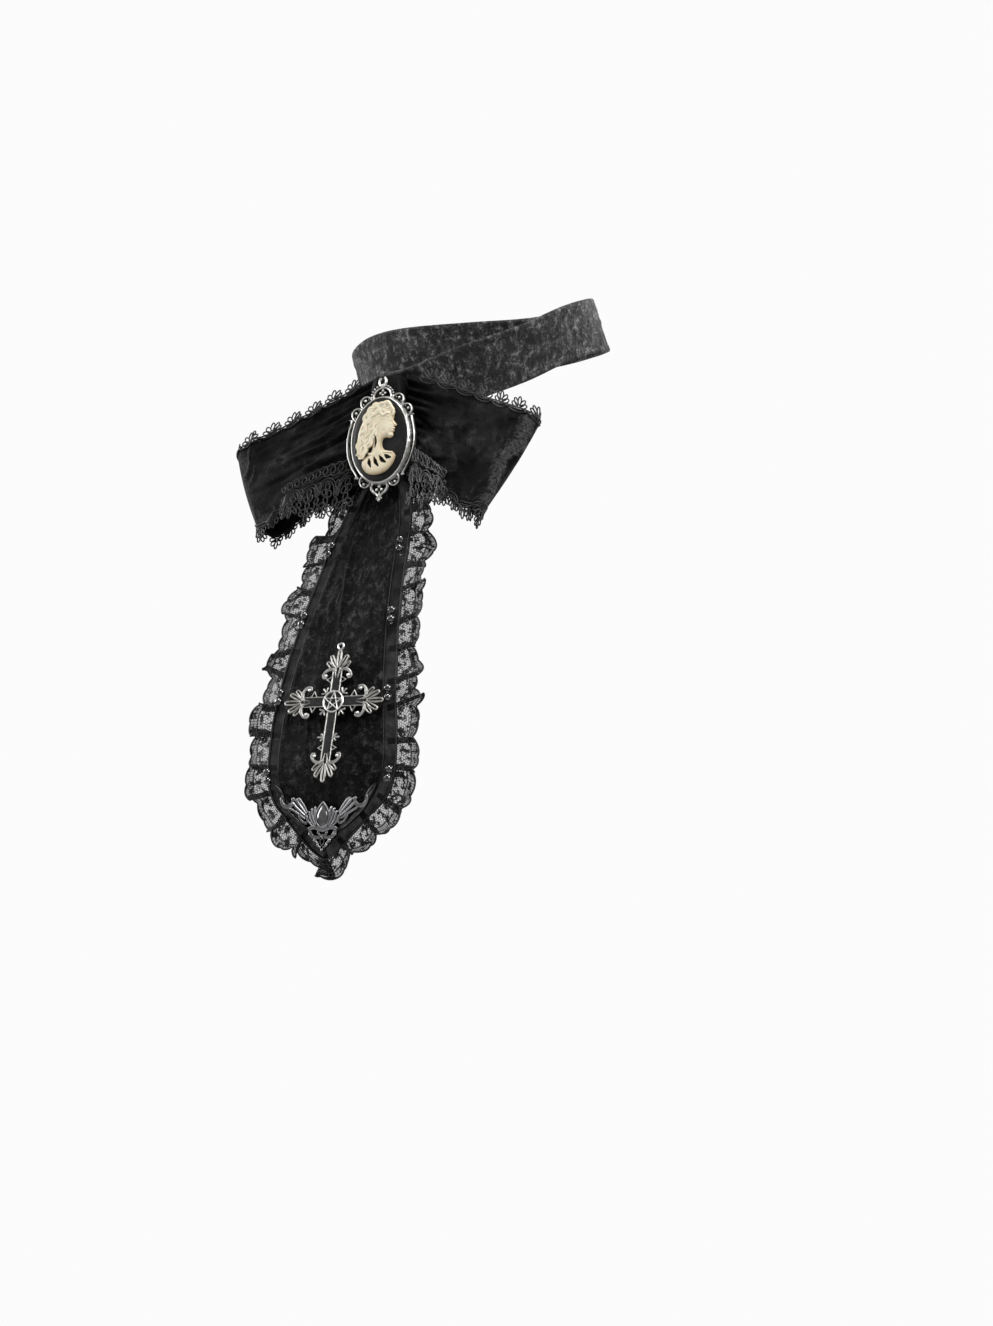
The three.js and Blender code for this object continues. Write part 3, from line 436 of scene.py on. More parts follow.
class Weaver:
    """A material, the nodes added to it and what they drive.

    A stop of a ramp is a place and a colour, or a place and how bright a grey is.
    """

    def __init__(self, name, colour, roughness, **sockets):
        self.made = material(name, colour, roughness, **sockets)
        self.tree = self.made.node_tree
        self.shader = self.tree.nodes["Principled BSDF"]
        place = self.add("ShaderNodeTexCoord")
        self.object_place = place.outputs["Object"]
        self.cloth_place = place.outputs["UV"]

    def add(self, kind, **settings):
        node = self.tree.nodes.new(kind)
        for name, value in settings.items():
            setattr(node, name, value)
        return node

    def join(self, start, end):
        self.tree.links.new(start, end)

    def noise(self, place, scale, detail=2.0, rough=0.5, kind="FBM"):
        node = self.add("ShaderNodeTexNoise", noise_type=kind)
        node.inputs["Scale"].default_value = scale
        node.inputs["Detail"].default_value = detail
        node.inputs["Roughness"].default_value = rough
        self.join(place, node.inputs["Vector"])
        return node.outputs["Fac"]

    def waves(self, place, scale, direction):
        node = self.add("ShaderNodeTexWave", bands_direction=direction)
        node.inputs["Scale"].default_value = scale
        self.join(place, node.inputs["Vector"])
        return node.outputs["Fac"]

    def cloth_axes(self):
        """Places across and along the cloth, in metres."""
        axes = self.add("ShaderNodeSeparateXYZ")
        self.join(self.cloth_place, axes.inputs["Vector"])
        return axes.outputs["X"], axes.outputs["Y"]

    def ramp(self, value, *stops):
        node = self.add("ShaderNodeValToRGB")
        marks = node.color_ramp.elements
        while len(marks) < len(stops):
            marks.new(0.5)
        for mark, (place, colour) in zip(marks, stops):
            mark.position = place
            mark.color = (*(colour if isinstance(colour, tuple) else grey(colour)), 1)
        self.join(value, node.inputs["Fac"])
        return node.outputs["Color"]

    def scaled(self, value, share):
        node = self.add("ShaderNodeMath", operation="MULTIPLY")
        node.inputs[1].default_value = share
        self.join(value, node.inputs[0])
        return node.outputs[0]

    def sum(self, first, second, operation="ADD", share=1.0):
        node = self.add("ShaderNodeMath", operation=operation)
        self.join(first, node.inputs[0])
        self.join(self.scaled(second, share), node.inputs[1])
        return node.outputs[0]

    def drive(self, socket, value, *stops):
        """A socket of the finish follows a value, through a ramp where there are stops."""
        self.join(self.ramp(value, *stops) if stops else value, self.shader.inputs[socket])

    def bump(self, height, distance, strength=1.0):
        node = self.add("ShaderNodeBump")
        node.inputs["Distance"].default_value = distance
        node.inputs["Strength"].default_value = strength
        self.join(height, node.inputs["Height"])
        self.join(node.outputs["Normal"], self.shader.inputs["Normal"])


def crushed_taffeta(name, gloss, dull, bright):
    """Crushed cloth with painted shade in its hollows and painted sheen on its ridges and in broad clouds;
    the two greys given are those of the painted shade and of the painted sheen.
    """
    w = Weaver(name, grey(0.012), 0.42, Specular_IOR_Level=gloss)
    patches = w.noise(w.cloth_place, 190, 6, 0.75)
    ridges = w.noise(w.cloth_place, 230, 5, 0.6, kind="RIDGED_MULTIFRACTAL")
    grain = w.noise(w.cloth_place, 850, 4, 0.75)
    clouds = w.noise(w.cloth_place, 42, 4, 0.6)
    folds = w.sum(w.sum(patches, grain, share=0.6), ridges, share=0.25)
    shine = w.scaled(w.sum(folds, clouds, share=0.3), 0.6)
    between_both = 0.35 * dull + 0.15 * bright
    # Base colour from the same noise that raises the bumps: painted shade in the hollows, painted sheen on
    # the ridges and clouds.
    w.drive("Base Color", shine, (0.55, dull), (0.61, between_both), (0.7, bright))
    w.drive("Roughness", shine, (0.55, 0.62), (0.7, 0.36))
    w.bump(w.sum(w.sum(patches, ridges, share=0.3), grain, share=0.25), 0.002)
    return w.made


def soft_suede(name, fold_sheen):
    """Napped cloth with painted sheen in its brightest clouds; the second argument is how bright the
    speckled sheen painted beside its fold is.
    """
    w = Weaver(name, grey(0.006), 0.78, Specular_IOR_Level=0.07)
    clouds = w.noise(w.cloth_place, 60, 5, 0.7)
    nap = w.noise(w.cloth_place, 900, 3, 0.6)
    _, along = w.cloth_axes()
    ragged = w.sum(along, w.noise(w.cloth_place, 45, 3, 0.6), share=0.02)
    # A speckled sheen painted in a band just inside the loop's outer fold.
    beside_fold = w.ramp(ragged, (0.076, 0), (0.0885, 1), (0.093, 0.45), (0.096, 0))
    speckle = w.sum(beside_fold, w.noise(w.cloth_place, 620, 6, 0.75), "MULTIPLY")
    painted_fold_sheen = w.ramp(speckle, (0.3, 0), (0.5, 0.25 * fold_sheen), (0.68, fold_sheen))
    # The nap's own dark tone, with painted sheen where the clouds are brightest.
    plain = w.ramp(w.sum(clouds, nap, share=0.25), (0.55, 0.001), (0.72, 0.006), (0.9, 0.05))
    w.drive("Base Color", w.sum(plain, painted_fold_sheen))
    w.drive("Roughness", clouds, (0.35, 0.75), (0.68, 0.42))
    w.bump(w.sum(nap, clouds, share=1.6), 0.0007, 0.8)
    return w.made


def lace_ground_cloth():
    """Fine net with darned blossoms, closer woven towards its outer edge."""
    w = Weaver("lace_ground_cloth", grey(0.006), 0.6, Specular_IOR_Level=0.2)
    across, _ = w.cloth_axes()
    outer_share = w.sum(across, across, share=109.0)
    blossoms = w.noise(w.cloth_place, 330, 3, 0.7)
    threads = w.noise(w.cloth_place, 1500, 2, 0.5)
    border = w.ramp(outer_share, (0.66, 0), (0.74, 0.18))
    motif = w.ramp(blossoms, (0.5, 0.08), (0.55, 0.62), (0.66, 0.95))
    w.drive("Alpha", w.sum(w.sum(motif, border), threads, share=0.35))
    return w.made


def sheer_organza():
    """Half-sheer weave, with blocks that let more or less light through."""
    w = Weaver("sheer_organza", grey(0.006), 0.6, Specular_IOR_Level=0.1)
    weave = w.sum(w.waves(w.cloth_place, 560, "X"), w.waves(w.cloth_place, 560, "Y"), "MULTIPLY")
    blocks = w.noise(w.cloth_place, 130, 3, 0.6)
    w.drive("Alpha", w.sum(weave, blocks, share=1.1), (0.5, 0.74), (0.85, 0.97))
    w.bump(weave, 0.0002, 0.5)
    return w.made


def cast_finish(name, colour, roughness, stain, stain_share, stops, pits, **sockets):
    """A cast finish, dark in its hollows and pale on its heights, with stains and fine pits.

    Returns its maker, its wear and its stains. Pits are a noise scale, a depth and a strength.
    """
    w = Weaver(name, colour, roughness, **sockets)
    height = w.add("ShaderNodeAttribute", attribute_name="depth").outputs["Fac"]
    stains = w.noise(w.object_place, *stain)
    wear = w.sum(height, stains, share=stain_share)
    w.drive("Base Color", wear, *stops)
    scale, deep, strength = pits
    w.bump(w.noise(w.object_place, scale, 3, 0.6), deep, strength)
    return w, wear, stains


def antique_silver():
    shades = (0.4, (0.02, 0.018, 0.016)), (0.64, (0.34, 0.33, 0.31)), (0.92, (0.78, 0.775, 0.76))
    w, wear, _ = cast_finish("antique_silver", (0.62, 0.6, 0.56), 0.28, (420, 5, 0.65), 0.55, shades,
                             (1500, 0.00008, 0.5), Metallic=1.0)
    w.drive("Roughness", wear, (0.36, 0.55), (0.9, 0.3))
    return w.made


def dark_gunmetal():
    shades = (0.4, 0.006), (0.64, 0.045), (0.92, 0.3)
    w, _, smears = cast_finish("dark_gunmetal", (0.2, 0.2, 0.21), 0.24, (300, 4, 0.6), 0.45, shades,
                               (900, 0.0001, 0.4), Metallic=1.0)
    w.drive("Roughness", smears, (0.3, 0.42), (0.7, 0.3))
    return w.made


def ivory_resin():
    shades = (0.25, (0.4, 0.3, 0.17)), (0.6, (0.7, 0.61, 0.43)), (1.0, (0.78, 0.71, 0.55))
    w, _, _ = cast_finish("ivory_resin", (0.8, 0.7, 0.5), 0.42, (260, 4, 0.55), 0.35, shades,
                          (1400, 0.00006, 0.5), Subsurface_Weight=0.12, Subsurface_Scale=0.002)
    return w.made


def speckled(name, shade, roughness, grain, stops, bump=None, **sockets):
    """A plain dark finish whose grey drifts with one fine noise, which also raises its surface."""
    w = Weaver(name, grey(shade), roughness, **sockets)
    speckle = w.noise(w.object_place, *grain)
    w.drive("Base Color", speckle, *stops)
    if bump:
        w.bump(speckle, *bump)
    return w.made


# One cloth in two copies for two lights: the band's is painted bright, with strong painted sheen for the
# grazing light it catches; the tail's is painted darker, with dim painted sheen.
BAND_TAFFETA_PAINTED_SHEEN = crushed_taffeta("crushed_taffeta", 0.28, 0.004, 0.2)
TAIL_TAFFETA_PAINTED_SHADE = crushed_taffeta("taffeta_painted_shade_copy", 0.07, 0.0012, 0.045)
# The right loop's copy carries a bright painted sheen beside its fold; the left's has almost none.
SUEDE = soft_suede("soft_suede", 0.01)
SUEDE_PAINTED_FOLD_SHEEN = soft_suede("suede_painted_fold_sheen", 0.28)
ORGANZA = sheer_organza()
LACE_FINISH = lace_ground_cloth()
SILVER = antique_silver()
GUNMETAL = dark_gunmetal()
IVORY = ivory_resin()
THREAD = speckled("black_thread", 0.006, 0.5, (1600, 2, 0.5), ((0.35, 0.003), (0.7, 0.014)),
                  (0.0001, 0.6), Specular_IOR_Level=0.35)
CORD = speckled("satin_cord", 0.015, 0.42, (1900, 3, 0.6), ((0.35, 0.003), (0.7, 0.022)),
                (0.00015, 0.7), Specular_IOR_Level=0.4)
GROUND = speckled("black_ground", 0.012, 0.45, (700, 5, 0.7), ((0.4, 0.004), (0.75, 0.016)),
                  (0.00005, 0.5), Specular_IOR_Level=0.3)
ENAMEL = speckled("black_enamel", 0.01, 0.22, (500, 3, 0.6), ((0.35, 0.006), (0.75, 0.026)),
                  (0.00008, 0.5), Coat_Weight=0.4, Coat_Roughness=0.1)
STONE = speckled("grey_stone", 0.06, 0.08, (240, 4, 0.6), ((0.3, 0.03), (0.75, 0.12)),
                 Coat_Weight=0.6, Coat_Roughness=0.05)
GLASS = speckled("glass_black", 0.006, 0.08, (600, 3, 0.6), ((0.4, 0.004), (0.8, 0.014)),
                 Specular_IOR_Level=0.9, Coat_Weight=1.0, Coat_Roughness=0.05)


# Mesh makers

def link(name, mesh, finish):
    piece = bpy.data.objects.new(name, mesh)
    bpy.context.scene.collection.objects.link(piece)
    mesh.materials.clear()
    mesh.materials.append(finish)
    return piece


def note(mesh, name, values):
    """A number at each point of a mesh, for its finish or its threads."""
    values = np.array(np.broadcast_to(values, len(mesh.vertices)), np.float32)
    mesh.attributes.new(name, "FLOAT", "POINT").data.foreach_set("value", values)


def closed_mesh(name, points, faces, finish, chart=None, depth=None, smooth=True):
    """A mesh from millimetre points and faces, turned to face outwards.

    The chart gives each face corner its place on the cloth, in millimetres.
    """
    points, faces = np.asarray(points, float), np.asarray(faces, int)
    a, b, c = points[faces[:, 0]], points[faces[:, 1]], points[faces[:, 2]]
    volume = (a * np.cross(b, c)).sum()
    if faces.shape[1] == 4:
        volume += (a * np.cross(c, points[faces[:, 3]])).sum()
    if volume < 0:
        faces = faces[:, ::-1]
        chart = None if chart is None else chart[:, ::-1]
    mesh = bpy.data.meshes.new(name)
    mesh.from_pydata((points * MM).tolist(), [], faces.tolist())
    if chart is not None:
        layer = mesh.uv_layers.new(name="cloth")
        layer.data.foreach_set("uv", (chart.reshape(-1, 2) * MM).ravel().astype(np.float32))
    if depth is not None:
        note(mesh, "depth", depth)
    mesh.polygons.foreach_set("use_smooth", np.full(len(mesh.polygons), smooth))
    mesh.update()
    return link(name, mesh, finish)


# Share of a cloth's wall that is left at its rolled edge, and where it has its full wall
EDGE_SHARE = 0.35
EDGE_ROLL = 0.6


def cloth_mesh(name, point_at, across, along, wall, size, finish, is_loop=False):
    """A closed cloth of an even wall over point_at(across, along, lift), with its edges rolled thin."""
    width, length = size
    columns, rows = across + 1, along if is_loop else along + 1
    a, b = np.meshgrid(np.arange(columns) / across, np.arange(rows) / along)
    edge = np.minimum(a, 1 - a) * width
    if not is_loop:
        edge = np.minimum(edge, np.minimum(b, 1 - b) * length)
    full = EDGE_SHARE + (1 - EDGE_SHARE) * np.sqrt(np.clip(edge / (EDGE_ROLL * wall), 0, 1))
    points = np.concatenate([point_at(a, b, side * full * wall / 2).reshape(-1, 3) for side in (-1, 1)])
    faces, charts = [], []

    def add(corners):
        """Faces, each corner of them on a side of the cloth, a row and a column."""
        faces.append(np.stack([(side * rows + row % rows) * columns + column
                               for side, row, column in corners], 1))
        charts.append(np.stack([np.stack([column / across * width, row / along * length], -1)
                                for _, row, column in corners], 1))

    i, j = np.meshgrid(np.arange(across), np.arange(along))
    i, j = i.ravel(), j.ravel()
    add([(0, j, i), (0, j, i + 1), (0, j + 1, i + 1), (0, j + 1, i)])
    add([(1, j + 1, i), (1, j + 1, i + 1), (1, j, i + 1), (1, j, i)])
    j = np.arange(along)
    for column, back, front in ((0, 0, 1), (across, 1, 0)):
        c = np.full(along, column)
        add([(back, j, c), (back, j + 1, c), (front, j + 1, c), (front, j, c)])
    if not is_loop:
        i = np.arange(across)
        for row, back, front in ((0, 1, 0), (along, 0, 1)):
            r = np.full(across, row)
            add([(back, r, i), (back, r, i + 1), (front, r, i + 1), (front, r, i)])
    return closed_mesh(name, points, np.concatenate(faces), finish, np.concatenate(charts))


def width_tree(name, *counts):
    """The frame of a tree whose threads or beads are as thick as the width noted at each point.

    Returns the tree, its input, its width and the node that its shapes go into.
    """
    tree = bpy.data.node_groups.new(name, "GeometryNodeTree")
    tree.is_modifier = True
    whole_numbers = [(count, "Int") for count in counts]
    for socket, kind in [("Geometry", "Geometry"), *whole_numbers, ("Finish", "Material")]:
        tree.interface.new_socket(socket, in_out="INPUT", socket_type="NodeSocket" + kind)
    tree.interface.new_socket("Geometry", in_out="OUTPUT", socket_type="NodeSocketGeometry")
    add, join = tree.nodes.new, tree.links.new
    start, end = add("NodeGroupInput"), add("NodeGroupOutput")
    width = add("GeometryNodeInputNamedAttribute")
    width.data_type = "FLOAT"
    width.inputs["Name"].default_value = "width"
    real, finish = add("GeometryNodeRealizeInstances"), add("GeometryNodeSetMaterial")
    join(real.outputs["Geometry"], finish.inputs["Geometry"])
    join(start.outputs["Finish"], finish.inputs["Material"])
    join(finish.outputs["Geometry"], end.inputs["Geometry"])
    return tree, start, width, real


def thread_tree():
    """Every edge line becomes a round thread."""
    tree, start, width, real = width_tree("threads", "Sides")
    add, join = tree.nodes.new, tree.links.new
    lines, profile = add("GeometryNodeMeshToCurve"), add("GeometryNodeCurvePrimitiveCircle")
    profile.inputs["Radius"].default_value = 0.5
    sweep = add("GeometryNodeCurveToMesh")
    sweep.inputs["Fill Caps"].default_value = True
    join(start.outputs["Geometry"], lines.inputs["Mesh"])
    join(start.outputs["Sides"], profile.inputs["Resolution"])
    join(lines.outputs["Curve"], sweep.inputs["Curve"])
    join(profile.outputs["Curve"], sweep.inputs["Profile Curve"])
    join(width.outputs["Attribute"], sweep.inputs["Scale"])
    join(sweep.outputs["Mesh"], real.inputs["Geometry"])
    return tree


def drop_tree():
    """Every point becomes a round bead."""
    tree, start, width, real = width_tree("drops", "Sides", "Rings")
    add, join = tree.nodes.new, tree.links.new
    ball, spread = add("GeometryNodeMeshUVSphere"), add("GeometryNodeInstanceOnPoints")
    ball.inputs["Radius"].default_value = 0.5
    join(start.outputs["Sides"], ball.inputs["Segments"])
    join(start.outputs["Rings"], ball.inputs["Rings"])
    join(start.outputs["Geometry"], spread.inputs["Points"])
    join(ball.outputs["Mesh"], spread.inputs["Instance"])
    join(width.outputs["Attribute"], spread.inputs["Scale"])
    join(spread.outputs["Instances"], real.inputs["Geometry"])
    return tree


THREADS, DROPS = thread_tree(), drop_tree()
# How high wire stands beside cast work, for the colour of its metal
WIRE_DEPTH = 0.75


def grown(name, points, edges, widths, tree, finish, **counts):
    """Runs a tree over points and edges, in millimetres, and keeps the result as a plain mesh."""
    mesh = bpy.data.meshes.new(name + "_lines")
    mesh.from_pydata((np.asarray(points) * MM).tolist(), np.asarray(edges, int).reshape(-1, 2).tolist(), [])
    note(mesh, "width", np.asarray(widths, float) * MM)
    seed = bpy.data.objects.new(name + "_lines", mesh)
    bpy.context.scene.collection.objects.link(seed)
    modifier = seed.modifiers.new("tree", "NODES")
    modifier.node_group = tree
    inputs = {"Finish": finish, **counts}
    for item in tree.interface.items_tree:
        if item.in_out == "INPUT" and item.name in inputs:
            modifier[item.identifier] = inputs[item.name]
    bpy.context.view_layer.update()
    plain = bpy.data.meshes.new_from_object(seed.evaluated_get(bpy.context.evaluated_depsgraph_get()))
    plain.name = name
    bpy.data.objects.remove(seed)
    if "width" in plain.attributes:
        plain.attributes.remove(plain.attributes["width"])
    plain.polygons.foreach_set("use_smooth", np.ones(len(plain.polygons), bool))
    note(plain, "depth", WIRE_DEPTH)
    return link(name, plain, finish)


class Lines:
    """Gathers lines of millimetre points, each open or closed, with a width for each."""

    def __init__(self):
        self.points, self.edges, self.widths, self.count = [], [], [], 0

    def add(self, points, width, closed=False):
        points = np.asarray(points, float)
        n = len(points)
        at = np.arange(n) + self.count
        ends = np.stack([at, np.roll(at, -1)], 1)
        self.edges.append(ends if closed else ends[:-1])
        self.points.append(points)
        self.widths.append(np.broadcast_to(np.asarray(width, float), n))
        self.count += n

    def threads(self, name, finish, sides=5, move=None):
        points = np.concatenate(self.points)
        if move is not None:
            points = move(points)
        return grown(name, points, np.concatenate(self.edges), np.concatenate(self.widths), THREADS, finish,
                     Sides=sides)


def arc(x, y, radius_x, radius_y, start, end, steps, turn=0.0):
    """Points of an arc of an ellipse, angles in degrees."""
    angle = np.radians(np.linspace(start, end, steps))
    px, py = radius_x * np.cos(angle), radius_y * np.sin(angle)
    s, c = sin_cos(turn)
    return np.stack([x + px * c - py * s, y + px * s + py * c], -1)


def ring_points(x, y, radius, steps, radius_y=None, turn=0.0):
    return arc(x, y, radius, radius_y or radius, 0, 360, steps + 1, turn)[:-1]


def seated(points, origin, tilt, yaw):
    """Flat work, x across, y up and z forward, put at its place on the jabot. Angles are in degrees."""
    upright = Matrix.Rotation(math.radians(90 - tilt), 3, "X")
    seat = Matrix.Rotation(math.radians(yaw), 3, "Z") @ upright
    return np.asarray(points) @ np.array(seat).T + np.asarray(origin)


class Relief:
    """Flat metal or resin work on a fine grid: how far inside its outline each place is, and how high."""

    EVERYWHERE = (slice(None), slice(None))

    def __init__(self, left, low, right, high, step):
        self.step = step
        self.x, self.y = np.meshgrid(np.arange(left, right + step, step), np.arange(low, high + step, step))
        self.inside = np.full(self.x.shape, -step * 3.0)
        self.height = np.zeros(self.x.shape)

    def window(self, points, margin):
        low, high = points.min(0) - margin, points.max(0) + margin
        i0, i1 = np.searchsorted(self.x[0], [low[0], high[0]])
        j0, j1 = np.searchsorted(self.y[:, 0], [low[1], high[1]])
        return slice(max(j0 - 1, 0), j1 + 1), slice(max(i0 - 1, 0), i1 + 1)

    def distance(self, where, points, widths):
        """Distance to a line of points, and the line's half width at the nearest place."""
        x, y = self.x[where], self.y[where]
        nearest, half = np.full(x.shape, 1e9), np.zeros(x.shape)
        for (ax, ay), (bx, by), wa, wb in zip(points[:-1], points[1:], widths[:-1], widths[1:]):
            run = max((bx - ax) ** 2 + (by - ay) ** 2, 1e-9)
            t = np.clip(((x - ax) * (bx - ax) + (y - ay) * (by - ay)) / run, 0, 1)
            gap = np.hypot(x - ax - t * (bx - ax), y - ay - t * (by - ay))
            width = wa + (wb - wa) * t
            closer = gap - width < nearest - half
            nearest, half = np.where(closer, gap, nearest), np.where(closer, width, half)
        return nearest, half

    def stroke(self, points, widths, base, rise, groove=0.0, smooth=True, sharp=2.0):
        """A rounded bar along a line. Widths are half widths. A groove runs down its middle."""
        points = np.asarray(points, float)
        widths = np.broadcast_to(np.asarray(widths, float), len(points))
        if smooth and len(points) > 2:
            line = SmoothLine(np.column_stack([points, widths]), 6)
            points, widths = line.points[:, :2], line.points[:, 2]
        where = self.window(points, widths.max() + 3 * self.step)
        gap, half = self.distance(where, points, widths)
        share = np.clip(gap / np.maximum(half, 1e-6), 0, 1)
        top = base + rise * (1 - share**sharp) ** 0.5 - groove * bell(share, 0.36)
        self.raise_to(where, half - gap, top)

    def raise_to(self, where, inside, top):
        inner = inside > -1.5 * self.step
        self.height[where] = np.where(inner & (top > self.height[where]), top, self.height[where])
        self.inside[where] = np.maximum(self.inside[where], inside)

    def ball(self, x, y, radius, base, rise=None):
        self.stroke([(x, y), (x + 0.01, y)], radius, base, radius if rise is None else rise, smooth=False)

    def disc(self, radius, base, rise=0.0, sharp=2.0):
        """A round plate at the middle."""
        self.stroke([(-0.01, 0), (0.01, 0)], radius, base, rise, smooth=False, sharp=sharp)

    def swell(self, points, rise, width, where=1):
        """Raises the places beside a line smoothly, or lowers them where rise is below zero."""
        gap, _ = self.distance(self.EVERYWHERE, points, [0.1] * len(points))
        self.height += rise * bell(gap, width) * where

    def slit(self, points, places, half_widths):
        """Opens a hole along a line, with its half widths at places from 0 to 1 along it."""
        line = SmoothLine(points, 8).points
        widths = np.interp(np.linspace(0, 1, len(line)), places, half_widths)
        gap, half = self.distance(self.EVERYWHERE, line, widths)
        self.inside = np.minimum(self.inside, gap - half)

    def mesh(self, name, back, finish, move, low, high):
        """The work as a closed mesh. Its outer corners are drawn in to the outline.

        Low and high are the heights where its finish is at its darkest and at its palest.
        """
        step, inside = self.step, self.inside
        keep = (inside[:-1, :-1] > 0) | (inside[1:, :-1] > 0) | (inside[:-1, 1:] > 0) | (inside[1:, 1:] > 0)
        slope_y, slope_x = np.gradient(inside, step)
        steep = np.maximum(slope_x**2 + slope_y**2, 0.2)
        shift = np.clip(np.where(inside < 0, -inside, 0) / steep, 0, 2 * step)
        x, y = self.x + slope_x * shift, self.y + slope_y * shift
        rows, columns = np.nonzero(keep)
        total = inside.shape[1]
        corner = rows * total + columns
        quads = np.stack([corner, corner + 1, corner + total + 1, corner + total], 1)
        used, quads = np.unique(quads, return_inverse=True)
        quads = quads.reshape(-1, 4)
        top = np.column_stack([table.ravel()[used] for table in (x, y, np.maximum(self.height, back + 0.1))])
        bottom = top * [1, 1, 0] + [0, 0, back]
        n = len(used)
        pairs = np.concatenate([quads[:, [0, 1]], quads[:, [1, 2]], quads[:, [2, 3]], quads[:, [3, 0]]])
        seen = {(a, b) for a, b in pairs.tolist()}
        rim = np.array([(a, b) for a, b in pairs.tolist() if (b, a) not in seen])
        walls = np.stack([rim[:, 1], rim[:, 0], rim[:, 0] + n, rim[:, 1] + n], 1)
        faces = np.concatenate([quads, quads[:, ::-1] + n, walls])
        points = np.concatenate([top, bottom])
        depth = np.clip((points[:, 2] - low) / (high - low), 0, 1)
        return closed_mesh(name, move(points), faces, finish, depth=depth)


def dress(piece, slot, *nodes):
    """A piece rides on the one body and stands for its solids, which it hides; its slot is not used."""
    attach(piece, "root")
    if nodes:
        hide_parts(*nodes)
    return piece


# Neckband

def band_cloth(across, along, lift):
    u, v = across * BAND_WIDTH, along * BAND_ROUND
    edge = np.minimum(u, BAND_WIDTH - u)
    hem = 0.35 * smooth_step(-edge, -HEM_WIDTH - 0.4, -HEM_WIDTH + 0.2)
    stitched = -0.3 * bell(edge - HEM_WIDTH + 0.2, 0.4)
    blend = smooth_step(v, 0, 12) * smooth_step(BAND_ROUND - v, 0, 12)
    creases = 0.55 * crinkle(u, v * 0.8, 7, 3) + 0.4 * crinkle(u, v, 3.4, 5) + 0.25 * soft_noise(u, v, 14, 7)
    pucker = 0.12 * soft_noise(u * 0.3, v, 2.2, 9) * bell(edge, 3.4)
    face = (creases - 0.25) * smooth_step(edge, 0.5, 4) + pucker
    return band_point(along * 360, across - 0.5, lift + np.sign(lift) * (hem + stitched) + face * blend)


neckband = cloth_mesh("neckband_cloth", band_cloth, 26, 400, BAND_WALL - 0.3, (BAND_WIDTH, BAND_ROUND),
                      BAND_TAFFETA_PAINTED_SHEEN, is_loop=True)
dress(neckband, "taffeta", "neckband")


def band_stitches():
    lines = Lines()
    pitch, length = 3.1, 2.2
    for row in (HEM_WIDTH, BAND_WIDTH - HEM_WIDTH):
        across = row / BAND_WIDTH - 0.5
        for k in range(int(BAND_ROUND / pitch)):
            turns = (k * pitch + np.array([0, 0.25, 0.75, 1]) * length) / BAND_ROUND * 360
            lifts = BAND_WALL / 2 + np.array([-0.25, 0.12, 0.12, -0.25])
            lines.add(band_point(turns, across, lifts), 0.32)
    return lines.threads("neckband_stitches", THREAD, 4)


stitches = dress(band_stitches(), "taffeta")

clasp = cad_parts["nape_clasp"]
clasp.data.materials.clear()
clasp.data.materials.append(GUNMETAL)


# Bow

LOOP_CLOTH = (60, LOOP_LINE.length)


def bow_loop(name, side):
    piece = cloth_mesh("bow_cloth_" + name, lambda a, b, lift: bow_point(side, a, b, lift), 52, 170,
                       CLOTH_WALL - 0.3, LOOP_CLOTH, SUEDE if side < 0 else SUEDE_PAINTED_FOLD_SHEEN)
    return dress(piece, "bow_cloth", "bow_loop_" + name)


def bow_edging(name, side, edge):
    """A corded scallop and a fan of five picots, all along one edge of a loop."""
    lines = Lines()
    total = LOOP_LINE.length
    count = round(total * (1 - 2 * EDGING_START) / EDGING_PITCH)
    pitch = total * (1 - 2 * EDGING_START) / count
    paths = np.linspace(0, 1, 50)
    widths = 42 + 17 * np.clip(LOOP_LINE.at(paths)[:, 0] / LOOP_REACH, 0, 1)

    def put(flat, width, closed=False):
        """A line in millimetres along the edge and out from it."""
        path = EDGING_START + flat[:, 0] / total
        beyond = flat[:, 1]
        outside = np.clip(beyond, 0, None)
        inward = np.clip(-beyond, 0, None) / np.interp(path, paths, widths)
        across = inward if edge == 0 else 1 - inward
        lift = np.where(beyond < 0, CLOTH_WALL / 2 + 0.25, 0.25 + 0.75 * np.exp(-outside))
        lines.add(bow_point(side, across, path, lift, outside), width, closed)

    for k in range(count):
        middle = (k + 0.5) * pitch
        put(arc(middle, 0.5, pitch / 2, 2.6, 180, 360, 9), 0.8)
        put(arc(middle, 0.7, pitch / 2 - 1.6, 1.5, 180, 360, 9), 0.6)
        for angle in (-64, -34, 0, 34, 64):
            s, c = sin_cos(angle)
            reach = 2.9 + 0.5 * math.cos(math.radians(2 * angle))
            picot = ring_points(middle + 1.15 * reach * s, 0.4 + reach * c, 2.15, 12, 1.0, 90 - angle)
            put(picot, 0.72, True)
    run = np.linspace(0, count * pitch, count * 8)
    put(np.stack([run, np.full(len(run), 0.35)], -1), 0.85)
    return dress(lines.threads(f"picots_{name}", THREAD, 5), "black_lace", "edging_" + name)


